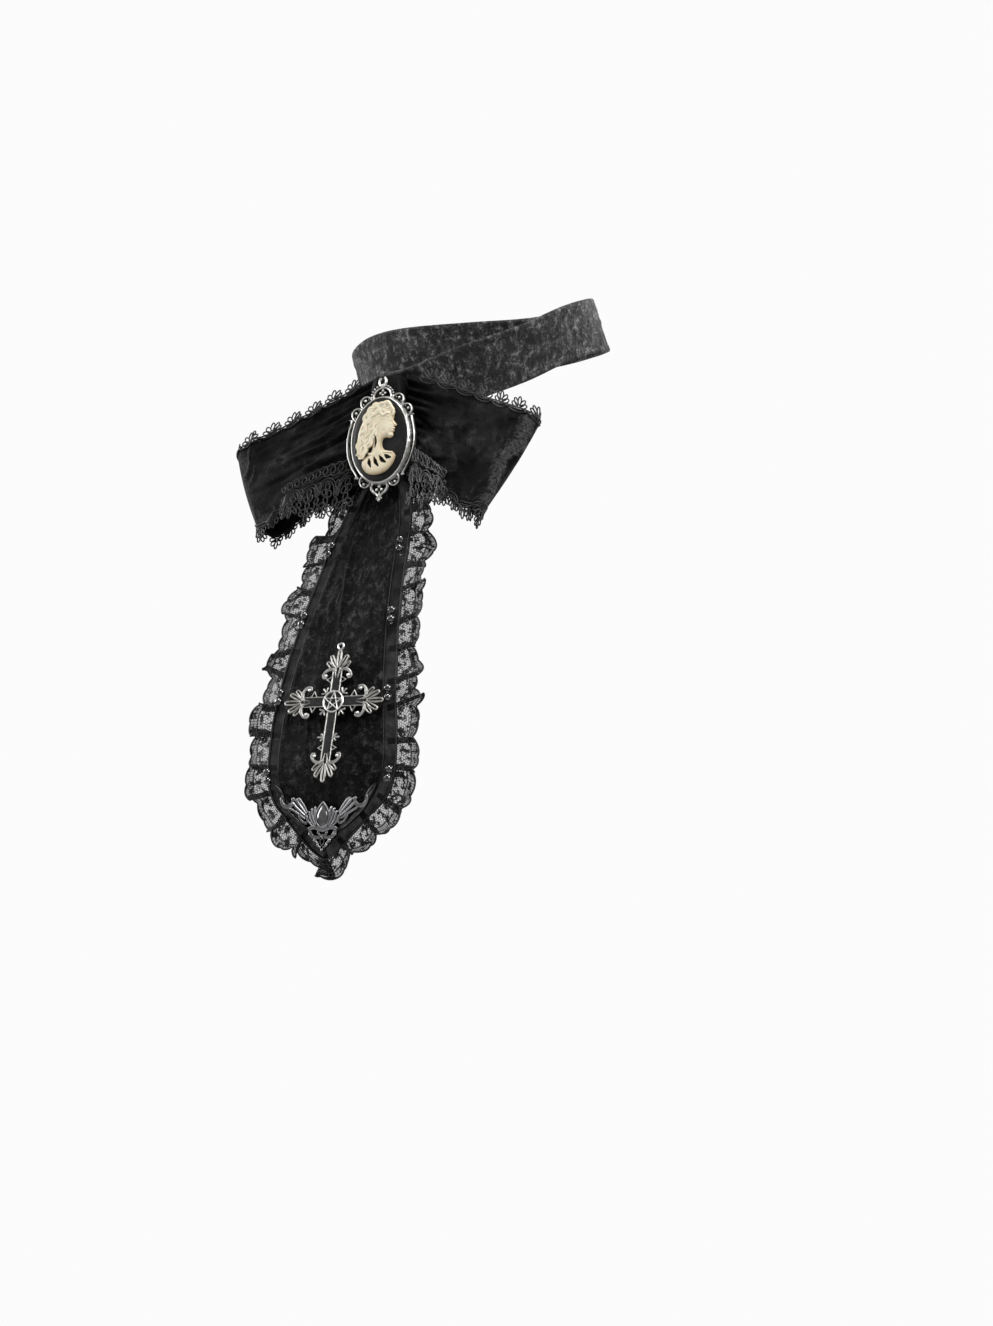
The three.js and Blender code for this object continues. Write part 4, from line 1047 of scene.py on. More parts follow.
def bow_knot():
    """The gathered centre: a block of cloth drawn into upright folds, behind the cameo."""
    face = BAND_WALL / 2 + 0.6
    back_low, back_top = band_point(0, -0.5, face), band_point(0, 0.5, face)
    lowest, highest = KNOT_LOW + 1, BOW_CENTRE[2] + BOW_TOP_RISE - 1
    rows, sides, square, gathers = 30, 56, 0.55, 14
    angle = np.linspace(0, 2 * np.pi, sides, endpoint=False)
    x, y = [np.sign(wave) * np.abs(wave) ** square for wave in (np.cos(angle), np.sin(angle))]
    points = []
    for t in np.linspace(0, 1, rows):
        z = lowest + t * (highest - lowest)
        back = np.interp(z, [back_low[2], back_top[2]], [back_low[1], back_top[1]])
        behind_cameo = CAMEO_MIDDLE[1] + (z - CAMEO_MIDDLE[2]) * math.tan(math.radians(CAMEO_TILT)) + 1.0
        front = min(behind_cameo, back - 3)
        pull = 0.35 * np.sin(angle * gathers + 2 * math.sin(3 * t)) * (1 - 0.3 * t)
        end = 1 - 0.25 * (2 * abs(t - 0.5)) ** 6
        points.append(np.column_stack([KNOT_WIDTH / 2 * x * end * (1 + 0.02 * pull),
                                       (front + back) / 2 + (back - front) / 2 * y * end + pull * 0.5,
                                       np.full(sides, z)]))
    points = np.concatenate(points)
    j, i = np.meshgrid(np.arange(rows - 1) * sides, np.arange(sides), indexing="ij")
    j, i = j.ravel(), i.ravel()
    after = (i + 1) % sides
    faces = np.stack([j + i, j + after, j + sides + after, j + sides + i], 1)
    caps = []
    for row in (0, rows - 1):
        centre, first = len(points), row * sides
        points = np.vstack([points, points[first:first + sides].mean(0)])
        for a in range(0, sides, 2):
            ring = [first + a, first + a + 1, first + (a + 2) % sides]
            caps.append([centre, *(ring[::-1] if row == 0 else ring)])
    chart = np.zeros((len(faces) + len(caps), 4, 2))
    return closed_mesh("bow_gathers", points, np.concatenate([faces, caps]), SUEDE, chart)


loops = [bow_loop("left", -1), bow_loop("right", 1)]
edgings = {name: [bow_edging(f"{place}_{name}", side, edge) for place, edge in (("top", 0), ("bottom", 1))]
           for name, side in (("left", -1), ("right", 1))}
gathers = dress(bow_knot(), "bow_cloth", "bow_knot")


# Guipure tabs

# Share of the loop, then of the tab's height: its upper and its lower edge
GUIPURE_ROWS = np.array([
    [0.06, 0, 1.15],
    [0.14, 0.12, 1.28],
    [0.24, 0.24, 1.45],
    [0.34, 0.36, 1.35],
    [0.44, 0.48, 1.52],
    [0.54, 0.62, 1.4],
    [0.66, 0.78, 1.55],
])
# Side, start and end as shares of the loop, height, rise of the upper edge
GUIPURE_TABS = {"left": (-1, 0.07, 0.66, 24, 0), "right": (1, 0.2, 0.7, 29, 4)}
# The front half of a loop's line, as a share of the line
FRONT_SHARE = 0.46
GUIPURE_CORD = 0.78
GUIPURE_THIN_CORD = 0.715


def guipure(name):
    """A tab of rings, scalloped arcs and fans, over the lower half of a loop."""
    side, start, reach, tall, rise = GUIPURE_TABS[name]
    wide = (reach - start) * FRONT_SHARE * LOOP_LINE.length
    deep = tall * 0.82
    lines = Lines()

    def put(points, closed=False, cord=GUIPURE_CORD):
        """A cord in millimetres along the tab and down it."""
        flat = np.asarray(points, float)
        along = np.clip(flat[:, 0] / wide, -0.06, 1.06)
        share = start + (reach - start) * along
        upper, lower = row_value(GUIPURE_ROWS, share, 1), row_value(GUIPURE_ROWS, share, 2)
        seat = bow_point(side, 1, share * FRONT_SHARE, CLOTH_WALL / 2 + CLEARANCE + LACE_WALL / 2)
        wanted = -BOW_BOTTOM_DEPTH * 0.84 + rise - tall * (upper + (lower - upper) * flat[:, 1] / deep)
        offset = (seat - BOW_CENTRE) @ BOW_UP
        spots = seat + BOW_UP * (wanted - offset)[:, None] + BOW_OUT * (FOLD_DEPTH * along)[:, None]
        lines.add(spots, cord, closed)

    gap = 4.3
    for k in range(int(wide / gap) + 1):
        put(ring_points((k + 0.5) * gap, 2.0, 1.45, 10), True)
    run = np.linspace(0, wide, 60)
    for height in (0, 4.0):
        put(np.stack([run, height + 0.3 * np.sin(run * 1.46)], -1))
    count = max(1, round(wide / 11.8))
    step = wide / count
    for k in range(count):
        x = (k + 0.5) * step
        for radius in (5.3, 4.1):
            put(arc(x, 10.4, radius, radius, 170, 370, 16))
        for angle in (90, 210, 330):
            s, c = sin_cos(angle)
            put(ring_points(x + 1.75 * c, 10.0 - 1.75 * s, 1.3, 9), True)
        for aside, height, radius in ((0, 13.6, 1.3), (step / 2, 7.6, 1.35), (step / 2, 10.8, 1.35),
                                      (step / 2, 14.0, 1.35)):
            put(ring_points(x + aside, height, radius, 9), True)
        for angle in (-48, 0, 48):
            s, c = sin_cos(angle)
            put(ring_points(x + 3.6 * s, 14.6 + 3.3 * c, 2.7, 12, 1.1, 90 - angle), True)
        put(arc(x, 15.2, step / 2 - 0.6, 2.4, 0, 180, 12), cord=GUIPURE_THIN_CORD)
    return dress(lines.threads("guipure_cords_" + name, CORD, 5), "black_lace", "guipure_" + name)


tabs = {name: guipure(name) for name in ("left", "right")}
for piece, name in zip(loops, ("left", "right")):
    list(edgings[name])


# Tail

def panel_edge(drop):
    """Half width of the panel at a drop."""
    along = np.linspace(0, 0.5, 900)
    x, y = beside_seam(along, -BORDER_WIDTH)
    order = np.argsort(y)
    return np.interp(drop, y[order], np.clip(-x[order], 0, None), right=0)


PANEL_TOP = float(beside_seam(0.0, -BORDER_WIDTH)[1])
PANEL_LOW = float(beside_seam(0.5, -BORDER_WIDTH)[1])


def panel_cloth(across, along, lift):
    drop = PANEL_TOP + (PANEL_LOW - PANEL_TOP) * along
    half = np.maximum(panel_edge(drop), 0.02)
    x = (2 * across - 1) * half
    edge = np.minimum(half - np.abs(x), (1 - along) * 200)
    hem = 0.3 * smooth_step(-edge, -2.4, -1.6)
    crush = 0.6 * crinkle(x, drop * 0.4, 11, 13) + 0.35 * crinkle(x, drop * 0.7, 4.2, 15)
    crush = crush + 0.25 * crinkle(x, drop, 2, 17)
    crease = 1.1 * bell(x + 5 + 3 * np.sin(drop / 23), 1.1)
    crease = crease * smooth_step(drop, 8, 30) * smooth_step(-drop, -95, -70)
    face = (crush + crease - 0.35) * smooth_step(edge, 0.6, 5) + np.sign(lift) * hem
    return tail_point(x, drop, lift + face)


panel = cloth_mesh("tail_cloth", panel_cloth, 60, 216, CLOTH_WALL - 0.3, PANEL_FLAT, TAIL_TAFFETA_PAINTED_SHADE)
dress(panel, "taffeta", "tail_panel")


def border_cloth(across, along, lift):
    out = -BORDER_WIDTH + 0.1 + across * (BORDER_WIDTH - 0.2)
    x, y = beside_seam(along, out)
    ripple = 0.18 * soft_noise(along * SEAM_LENGTH, across * 4, 5, 21)
    return tail_point(x, y, lift + ripple)


border = cloth_mesh("sheer_strip", border_cloth, 8, 560, 0.35, (BORDER_WIDTH, SEAM_LENGTH), ORGANZA)
dress(border, "sheer_strip", "tail_border")


# Pleated lace: place along the seam and height, from the middle of one front pleat to the next
PLEAT_ROWS = np.array([
    [0, 1],
    [7.8, 1],
    [4.3, 0.3],
    [14, -1],
    [23.7, 0.3],
    [20.2, 1],
    [28, 1],
])
PLEAT_CLOTH = float(np.abs(np.diff(PLEAT_ROWS[:, 0])).sum())
SCALLOPS_A_PLEAT = 4
SCALLOP = PLEAT_CLOTH / SCALLOPS_A_PLEAT
LACE_CLOTH = SEAM_LENGTH * (1 - 2 * LACE_START) / PLEAT_PITCH * PLEAT_CLOTH
# Where the cloth of the lace begins, in millimetres along the seam
LACE_FROM = LACE_START * SEAM_LENGTH


def pleat_table():
    """How the lace is folded, softened at the folds, against millimetres of its cloth.

    Returns the millimetres, the place beside even gathers and the height.
    """
    travel = np.concatenate([[0], np.cumsum(np.abs(np.diff(PLEAT_ROWS[:, 0])))])
    u = np.linspace(0, PLEAT_CLOTH, 360, endpoint=False)
    place = np.interp(u, travel, PLEAT_ROWS[:, 0]) - u / PLEAT_CLOTH * PLEAT_PITCH
    height = np.interp(u, travel, PLEAT_ROWS[:, 1])
    reach = 7
    soften = np.hanning(2 * reach + 1)
    soften /= soften.sum()
    return u, *[np.convolve(np.concatenate([values[-reach:], values, values[:reach]]), soften, "valid")
                for values in (place, height)]


PLEAT_U, PLEAT_PLACE, PLEAT_HEIGHT = pleat_table()


def lace_point(u, v, lift=0.0):
    """A point of the pleated lace: millimetres along its cloth and out from the seam."""
    u, v, lift = as_arrays(u, v, lift)
    stray = np.interp(u, PLEAT_U, PLEAT_PLACE, period=PLEAT_CLOTH)
    height = np.interp(u, PLEAT_U, PLEAT_HEIGHT, period=PLEAT_CLOTH)
    drift = lambda cell, seed: soft_noise(u, 0 * u, cell, seed)
    open_up = np.clip(v / LACE_WIDTH, 0, 1.2)
    wander = (2.6 * drift(23, 51) + 2.2 * drift(9, 57)) * open_up
    beyond_start = u / PLEAT_CLOTH * PLEAT_PITCH + stray * (1 - 0.1 * open_up) + wander
    along = np.clip((LACE_FROM + beyond_start) / SEAM_LENGTH, 0.001, 0.999)
    tip = 0.42 * bell(along - 0.5, 0.06)
    ends = 0.25 * np.exp(-np.minimum(along, 1 - along) / 0.03)
    rounded = np.abs(np.cos(2 * np.pi * beyond_start / PLEAT_PITCH)) ** 0.7 - 0.7
    lobe = (0.36 + 0.12 * drift(17, 59)) * rounded
    reach = 1.06 + 0.05 * height + lobe - tip - ends + 0.2 * drift(12, 53)
    x, y = beside_seam(along, np.where(v > 0, v * reach, v))
    swell = 0.35 + 2.0 * open_up + 0.4 * open_up * soft_noise(u, v, 9, 55)
    return tail_point(x, y, lift + height * swell)


def scallop(u):
    """0 between two scallops of the lace and 1 at the middle of each."""
    return np.abs(np.sin(np.pi * u / SCALLOP))


def lace_edge(u):
    """Outer edge of the lace cloth."""
    return LACE_WIDTH - 0.5 + 1.1 * scallop(u) ** 0.8


def lace_border_start(u):
    return 6.6 + 0.6 * scallop(u)


def lace_ground(across, along, lift):
    u = along * LACE_CLOTH
    return lace_point(u, 0.2 + across * (lace_edge(u) - 0.4), lift)


def lace_net():
    """Hexagonal net between the seam and the ribbed border."""
    cell = 0.68
    aside = cell * math.sqrt(3) / 2
    columns, rows = int(LACE_CLOTH / aside), int(9 / (1.5 * cell))
    i, j = np.meshgrid(np.arange(columns), np.arange(rows), indexing="ij")
    raised = (i + j) % 2
    u, v = i * aside, 0.2 + (j * 1.5 + raised * 0.5) * cell
    at = i * rows + j
    sideways = np.stack([at[:-1].ravel(), at[1:].ravel()], 1)
    up = raised[:, :-1] == 1
    upward = np.stack([at[:, :-1][up], at[:, 1:][up]], 1)
    keep = (v < lace_border_start(u) + 0.4).ravel()
    edges = np.concatenate([sideways, upward])
    edges = edges[keep[edges].all(1)]
    used, edges = np.unique(edges, return_inverse=True)
    points = lace_point(u.ravel()[used], v.ravel()[used])
    return grown("lace_net", points, edges.reshape(-1, 2), 0.24, THREADS, THREAD, Sides=3)


def lace_border():
    """Fine ribs between two cords, with the dark scalloped edge."""
    lines = Lines()
    for u in np.arange(0, LACE_CLOTH, 0.9):
        v = np.linspace(lace_border_start(u), lace_edge(u), 4)
        lines.add(lace_point(np.full(4, u), v), 0.3)
    u = np.arange(0, LACE_CLOTH, 0.7)
    inner, outer = lace_border_start(u), lace_edge(u)
    for v, width in ((inner, 0.6), (outer, 1.0), (0.5 * outer + 0.5 * inner, 0.3), (0 * u + 0.3, 0.7)):
        lines.add(lace_point(u, v), width)
    return lines.threads("lace_border", THREAD, 3)


def lace_sprigs():
    """Darned flowers and leaves on the net, one in each scallop."""
    lines = Lines()

    def put(flat, width, closed=False):
        lines.add(lace_point(flat[:, 0], flat[:, 1], 0.12), width, closed)

    for k in range(int(LACE_CLOTH / SCALLOP)):
        u = (k + 0.5) * SCALLOP
        if k % 2:
            for petal in range(5):
                angle = math.radians(72 * petal + 90)
                put(ring_points(u + 1.0 * math.cos(angle), 3.9 + 1.0 * math.sin(angle), 0.42, 6), 0.62, True)
            put(arc(u - 1.6, 1.4, 1.7, 2.2, -60, 60, 6), 0.4)
            put(ring_points(u - 2.6, 2.0, 0.9, 6, 0.35, 40), 0.5, True)
            put(ring_points(u + 2.4, 2.4, 0.9, 6, 0.35, 130), 0.5, True)
        else:
            for berry in range(6):
                x, y = u + 1.15 * (berry % 2 - 0.5) + 0.3 * (berry // 2), 1.5 + 1.25 * (berry // 2)
                put(ring_points(x, y, 0.36, 5), 0.55, True)
            put(arc(u + 2.6, 3.4, 1.6, 1.9, 90, 250, 6), 0.4)
    return lines.threads("lace_sprigs", THREAD, 4)


def lace_heading(across, along, lift):
    """The lace's cloth inside the seam, in blocks where it is folded under."""
    u = along * LACE_CLOTH
    half_pleats = np.mod(2 * u / PLEAT_CLOTH, 1)
    depth = 0.5 + 4.4 * (1 - smooth_step(np.abs(half_pleats - 0.5), 0.16, 0.2))
    return lace_point(u, 0.3 - depth * (1 - across), lift - 0.85)


heading = cloth_mesh("lace_heading", lace_heading, 4, 1000, 0.12, (4.9, LACE_CLOTH), ORGANZA)
dress(heading, "sheer_strip")
woven = cloth_mesh("lace_ground", lace_ground, 6, 1500, 0.14, (LACE_WIDTH, LACE_CLOTH), LACE_FINISH)
lace = [dress(woven, "black_lace"), dress(lace_net(), "black_lace", "pleated_lace"),
        dress(lace_border(), "black_lace"), dress(lace_sprigs(), "black_lace")]


def tail_seams():
    lines = Lines()
    along = np.linspace(0, 1, 700)
    for out, width, lift in ((0.0, 0.9, 0.35), (-BORDER_WIDTH, 0.5, 0.62)):
        x, y = beside_seam(along, out)
        lines.add(tail_point(x, y, lift), width)
    return lines.threads("tail_seam_cords", THREAD, 4)


seams = dress(tail_seams(), "black_lace")


# Cameo: silver setting, black ground and the lady, in millimetres from the oval's centre

OVAL_X, OVAL_Y = 16, 21
SETTING_TOP = 2.9
# Arches round the oval: angle, half width, reach
ARCHES = ((59, 3.1, 3.2), (38, 3.1, 3.2), (-62, 3.0, 3.0))
# The long bars at the sides run from one angle to the other
BAR_ANGLES = (27, -46)


def on_cameo(points):
    return seated(points, CAMEO_MIDDLE, CAMEO_TILT, CAMEO_YAW)


def round_oval(angle, beyond):
    """A point beside the oval's outer edge."""
    return arc(0, 0, OVAL_X + 1 + beyond, OVAL_Y + 1 + beyond, angle, angle, 1)[0]


def cameo_side(work, side):
    """One side of the setting: arches, long bar, and the heart below."""
    mirror = np.array([side, 1])
    for angle, half, reach in ARCHES:
        x, y = round_oval(angle, 0.1)
        s, c = sin_cos(angle)
        normal = math.degrees(math.atan2((OVAL_X + 1) * s, (OVAL_Y + 1) * c))
        work.stroke(arc(x, y, half, reach, -10, 190, 18, normal - 90) * mirror, 0.46, 0.5, 1.4)
        work.ball(*round_oval(angle, 1.5) * mirror, 0.8, 0.8, 1.1)
        for foot in (-5.4, 5.4):
            work.ball(*round_oval(angle + foot, 0.9) * mirror, 0.5, 0.7, 0.8)
    steps = 17
    bow = np.sin(np.linspace(0, np.pi, steps))
    bar = arc(0, 0, OVAL_X + 2.3, OVAL_Y + 2.3, *BAR_ANGLES, steps)
    bar[:, 0] += 0.5 * bow
    work.stroke((bar - [0.6, 0]) * mirror, 1.15 * (0.4 + 0.6 * bow**0.5), 0.35, 0.2)
    work.stroke(bar * mirror, 0.5 * (0.5 + 0.5 * bow**0.5), 0.6, 1.5)
    for angle, reach in zip(BAR_ANGLES, (2.9, 2.7)):
        inner = round_oval(angle - 8 * np.sign(angle), 1.4)
        tip = np.array([inner, round_oval(angle, 1.8), round_oval(angle, reach)])
        work.stroke(tip * mirror, [0.6, 0.6, 0.3], 0.6, 1.3)
    work.ball(*round_oval(-48, 1.6) * mirror, 0.8, 0.8, 1.0)
    heart = np.array([[3.4, -20.6], [4.6, -22.6], [3.7, -24.7], [1.9, -26.0], [0.6, -27.4]]) * mirror
    work.stroke(heart, [0.5, 0.75, 0.75, 0.65, 0.5], 0.5, 1.2, groove=0.12)
    work.ball(1.35 * side, -24.1, 0.85, 0.8, 1.1)
    work.ball(1.0 * side, -28.3, 0.8, 0.5, 1.0)


def cameo_frame():
    work = Relief(-21.5, -30.5, 21.5, 29, 0.17)
    for side in (-1, 1):
        cameo_side(work, side)
    for x, y, radius in ((0, -22.5, 0.9), (0, -26.3, 0.6), (0, -29.3, 0.75)):
        work.ball(x, y, radius, 0.8, 1.0)
    work.stroke([(0, -25), (0, -29)], 0.5, 0.5, 0.8)
    # Crown of beads over a rounded arch
    crown = (0, 21.2)
    work.stroke(arc(*crown, 4.9, 4.6, -8, 188, 20), 0.6, 0.5, 1.2)
    for x, y, radius in ((0, 24.3, 0.75), (-1.3, 23.2, 0.7), (1.3, 23.2, 0.7), (0, 22.4, 0.6)):
        work.ball(x, y, radius, 0.8, 0.9)
    for x, y in arc(*crown, 6.2, 5.85, 2, 178, 13):
        work.ball(x, y, 0.52, 0.8, 1.1)
    work.stroke([(0, 25.5), (0, 27.4)], [0.9, 0.7], 0.4, 1.1)
    # Outer edge and the thin rim round the black oval
    for inset, half, base, rise in ((-0.7, 0.4, 0.5, 0.3), (0.25, 0.52, 1.5, 1.25)):
        rim = arc(0, 0, OVAL_X - inset, OVAL_Y - inset, 0, 360, 73)
        work.stroke(rim, half, base, rise, smooth=False)
    return work.mesh("cameo_frame", 0, SILVER, on_cameo, 0.2, SETTING_TOP)


def oval_dome(name, half_x, half_y, profile, finish, rings, sides=64):
    """A closed oval plate. The profile gives share of its size and height, from the rim to the middle."""
    shares, heights = np.array(profile).T
    turns = np.radians(np.arange(sides) * 360 / sides)
    steps, places = np.linspace(0, 1, rings), np.linspace(0, 1, len(shares))
    oval = np.column_stack([half_x * np.cos(turns), half_y * np.sin(turns)])
    points = [np.column_stack([share * oval, np.full(sides, top)])
              for share, top in zip(np.interp(steps, places, shares), np.interp(steps, places, heights))]
    points.append(np.array([[0, 0, heights[0]], [0, 0, heights[-1]]]))
    ring, spoke = np.meshgrid(np.arange(rings - 1) * sides, np.arange(sides), indexing="ij")
    ring, spoke = ring.ravel(), spoke.ravel()
    after = (spoke + 1) % sides
    a, b, c, d = ring + spoke, ring + after, ring + sides + after, ring + sides + spoke
    s = np.arange(sides)
    after = (s + 1) % sides
    total, last = rings * sides, (rings - 1) * sides
    triangles = [(a, b, c), (a, c, d), (np.full(sides, total), after, s),
                 (np.full(sides, total + 1), last + s, last + after)]
    faces = np.concatenate([np.stack(corners, 1) for corners in triangles])
    return closed_mesh(name, on_cameo(np.concatenate(points)), faces, finish)


def cameo_ring():
    """The jump ring at the top, with its two ends a little apart."""
    lines = Lines()
    flat = arc(0, 28.7, 2.0, 2.25, 122, 418, 22)
    lines.add(np.column_stack([flat, np.linspace(0.9, 1.6, len(flat))]), 1.15)
    return lines.threads("cameo_ring", SILVER, 10, on_cameo)


LADY_HEIGHT, LADY_ASIDE = 44.5, -0.8
# Bust and head, then the hair on top, as shares of the lady's height
LADY_OUTLINE = np.array([
    [0.02, 0.41], [0.12, 0.39], [0.185, 0.33], [0.208, 0.27], [0.204, 0.218], [0.2, 0.2],
    [0.222, 0.168], [0.245, 0.137], [0.232, 0.125], [0.216, 0.119], [0.224, 0.103], [0.219, 0.094],
    [0.208, 0.089], [0.219, 0.078], [0.213, 0.066], [0.2, 0.055], [0.206, 0.035], [0.196, 0.012],
    [0.165, 0], [0.125, 0.006], [0.09, 0.002], [0.07, -0.03], [0.075, -0.09], [0.1, -0.122],
    [0.15, -0.14], [0.205, -0.155], [0.237, -0.19], [0.228, -0.245], [0.19, -0.305], [0.12, -0.36],
    [0, -0.39], [-0.108, -0.365], [-0.171, -0.3], [-0.18, -0.24], [-0.15, -0.2], [-0.09, -0.155],
    [-0.06, -0.12], [-0.052, -0.07], [-0.045, 0], [-0.05, 0.1], [-0.08, 0.25], [-0.04, 0.37],
])
# Locks of hair from the crown: points along each, half width at its middle, as shares of the height
HAIR_LOCKS = [
    ([(0.12, 0.3), (0.17, 0.335), (0.2, 0.29), (0.19, 0.255)], 0.016),
    ([(0.05, 0.31), (0.1, 0.375), (0.17, 0.36), (0.195, 0.305)], 0.02),
    ([(0.02, 0.29), (0.04, 0.385), (0.11, 0.395), (0.16, 0.37)], 0.021),
    ([(0.1, 0.28), (0.05, 0.36), (-0.02, 0.395), (-0.06, 0.35)], 0.022),
    ([(0.13, 0.29), (0.06, 0.31), (0.0, 0.36), (-0.07, 0.33), (-0.11, 0.25)], 0.023),
    ([(0.15, 0.27), (0.08, 0.265), (0.02, 0.31), (-0.04, 0.27), (-0.1, 0.2), (-0.16, 0.16)], 0.022),
    ([(0.14, 0.235), (0.08, 0.225), (0.03, 0.25), (-0.01, 0.2), (-0.05, 0.13), (-0.12, 0.08)], 0.021),
    ([(-0.02, 0.36), (-0.1, 0.33), (-0.15, 0.25), (-0.165, 0.17), (-0.2, 0.1)], 0.024),
    ([(-0.06, 0.29), (-0.12, 0.21), (-0.15, 0.12), (-0.21, 0.04), (-0.2, -0.05)], 0.023),
    ([(-0.03, 0.23), (-0.08, 0.16), (-0.11, 0.06), (-0.16, 0.0), (-0.21, -0.08), (-0.2, -0.15)], 0.021),
    ([(0.01, 0.2), (-0.03, 0.12), (-0.05, 0.03), (-0.1, -0.04), (-0.13, -0.11), (-0.18, -0.17)], 0.019),
    ([(0.02, 0.14), (-0.01, 0.06), (-0.04, 0.0), (-0.07, -0.05), (-0.1, -0.09), (-0.15, -0.13)], 0.013),
    ([(-0.17, 0.16), (-0.21, 0.1), (-0.2, 0.02), (-0.235, -0.05), (-0.235, -0.13)], 0.017),
    ([(-0.14, 0.1), (-0.17, 0.02), (-0.15, -0.05), (-0.19, -0.11), (-0.24, -0.16)], 0.014),
    ([(-0.12, 0.0), (-0.14, -0.07), (-0.12, -0.13), (-0.16, -0.18), (-0.21, -0.2)], 0.013),
]
# The hair's whole mass, from the brow over the crown and down the back
HAIR_MASS = np.array([
    [0.19, 0.25], [0.205, 0.29], [0.18, 0.35], [0.12, 0.39], [0.02, 0.405], [-0.07, 0.38], [-0.13, 0.31],
    [-0.175, 0.22], [-0.22, 0.12], [-0.24, 0.02], [-0.245, -0.08], [-0.235, -0.17], [-0.19, -0.21],
    [-0.14, -0.17], [-0.1, -0.1], [-0.06, -0.03], [-0.02, 0.06], [0.03, 0.13], [0.08, 0.2], [0.14, 0.235],
])
FACE_FEATURES = [
    ([(0.163, 0.188), (0.178, 0.193), (0.196, 0.19)], 0.006, 0.25),
    ([(0.166, 0.203), (0.182, 0.212), (0.2, 0.206)], 0.007, 0.3),
    ([(0.17, 0.178), (0.182, 0.174), (0.192, 0.178)], 0.004, 0.15),
    ([(0.205, 0.2), (0.215, 0.17), (0.232, 0.142)], 0.012, 0.4),
    ([(0.196, 0.122), (0.206, 0.128), (0.216, 0.124)], 0.008, 0.3),
    ([(0.186, 0.1), (0.204, 0.103), (0.217, 0.1)], 0.007, 0.3),
    ([(0.19, 0.083), (0.204, 0.079), (0.213, 0.08)], 0.007, 0.3),
    ([(0.165, 0.02), (0.185, 0.025), (0.197, 0.034)], 0.02, 0.3),
]
DRESS_SLOTS = [
    [(-0.085, -0.205), (-0.08, -0.25), (-0.06, -0.3)],
    [(-0.02, -0.195), (-0.003, -0.245), (0.035, -0.295)],
    [(0.045, -0.185), (0.075, -0.228), (0.125, -0.262)],
    [(0.11, -0.18), (0.14, -0.203), (0.185, -0.215)],
]
LADY_BACK, LADY_FACE = 3.4, 4.3


def inside_outline(x, y, outline):
    """Distance inside a closed outline, below zero outside it."""
    inside = np.zeros(x.shape, bool)
    nearest = np.full(x.shape, 1e9)
    for (ax, ay), (bx, by) in zip(outline, np.roll(outline, -1, 0)):
        crosses = ((ay > y) != (by > y)) & (x < (bx - ax) * (y - ay) / (by - ay + 1e-12) + ax)
        inside ^= crosses
        run = (bx - ax) ** 2 + (by - ay) ** 2 + 1e-12
        t = np.clip(((x - ax) * (bx - ax) + (y - ay) * (by - ay)) / run, 0, 1)
        nearest = np.minimum(nearest, np.hypot(x - ax - t * (bx - ax), y - ay - t * (by - ay)))
    return np.where(inside, nearest, -nearest)


def on_lady(shares):
    return np.asarray(shares, float) * LADY_HEIGHT + [LADY_ASIDE, 0]


def hair_lock(work, number, points, half):
    """A waving lock, with a line of parted hair on each side of its middle."""
    line = SmoothLine(on_lady(points), 10)
    t = np.linspace(0, 1, 26)
    runs = line.run(t)
    aside = np.column_stack([-runs[:, 1], runs[:, 0]])
    swing = 0.42 * np.sin(2 * np.pi * (t * line.length / 5.2 + 0.31 * number))
    spots = line.at(t) + aside * swing[:, None]
    widths = half * LADY_HEIGHT * (0.45 + 0.55 * np.sin(np.pi * (0.12 + 0.8 * t)))
    work.stroke(spots, widths, LADY_FACE - 0.35, 0.8 + 0.12 * (number % 3), groove=0.25)
    for shift in (-0.5, 0.5):
        work.swell(spots + aside * (shift * widths)[:, None], -0.2, 0.15, work.inside > 0)


def cameo_lady():
    """A lady in profile, looking right, with long wavy hair and a draped dress."""
    work = Relief(-12.8, -18.2, 10.9, 19, 0.15)
    closed = np.vstack([LADY_OUTLINE, LADY_OUTLINE[:1]])
    outline = SmoothLine(on_lady(closed), 5).points[:-1]
    depth = inside_outline(work.x, work.y, outline)
    shape = np.sqrt(np.clip(depth / 2.4, 0, 1))
    work.inside = depth
    work.height = LADY_BACK + 0.1 + (LADY_FACE - LADY_BACK) * shape
    cheek_x, cheek_y = on_lady((0.15, 0.11))
    cheek = np.exp(-((work.x - cheek_x) ** 2 + 0.6 * (work.y - cheek_y) ** 2) / 7)
    work.height += 0.3 * cheek * (depth > 0)
    jaw_line = on_lady([(0.1, 0.085), (0.12, 0.04), (0.16, 0.012)])
    work.swell(jaw_line, -0.22, 0.8)
    for fold in range(5):
        ends = [(-0.11 + 0.06 * fold, -0.16 - 0.008 * fold), (-0.12 + 0.07 * fold, -0.34)]
        work.swell(on_lady(ends), -0.14, 0.35)
    collar = on_lady([(-0.09, -0.155), (0, -0.175), (0.1, -0.15), (0.2, -0.16)])
    work.stroke(collar, 0.45, LADY_FACE - 0.25, 0.35)
    for points, half, rise in FACE_FEATURES:
        work.swell(on_lady(points), rise, half * LADY_HEIGHT, depth > 0.1)
    hair = SmoothLine(on_lady(np.vstack([HAIR_MASS, HAIR_MASS[:1]])), 4).points[:-1]
    mass = inside_outline(work.x, work.y, hair)
    work.raise_to(work.EVERYWHERE, mass, LADY_FACE - 0.4 + 0.4 * np.sqrt(np.clip(mass / 1.2, 0, 1)))
    for number, (points, half) in enumerate(HAIR_LOCKS):
        hair_lock(work, number, points, half)
    for slot in DRESS_SLOTS:
        work.slit(on_lady(slot), [0, 0.5, 1], [0.35, 1.15, 0.5])
    behind_neck = on_lady([(-0.02, 0.05), (-0.005, -0.02), (-0.015, -0.09)])
    work.slit(behind_neck, [0, 0.6, 1], [0.2, 0.85, 0.35])
    return work.mesh("cameo_lady", LADY_BACK, IVORY, on_cameo, LADY_BACK + 0.2, 5.0)


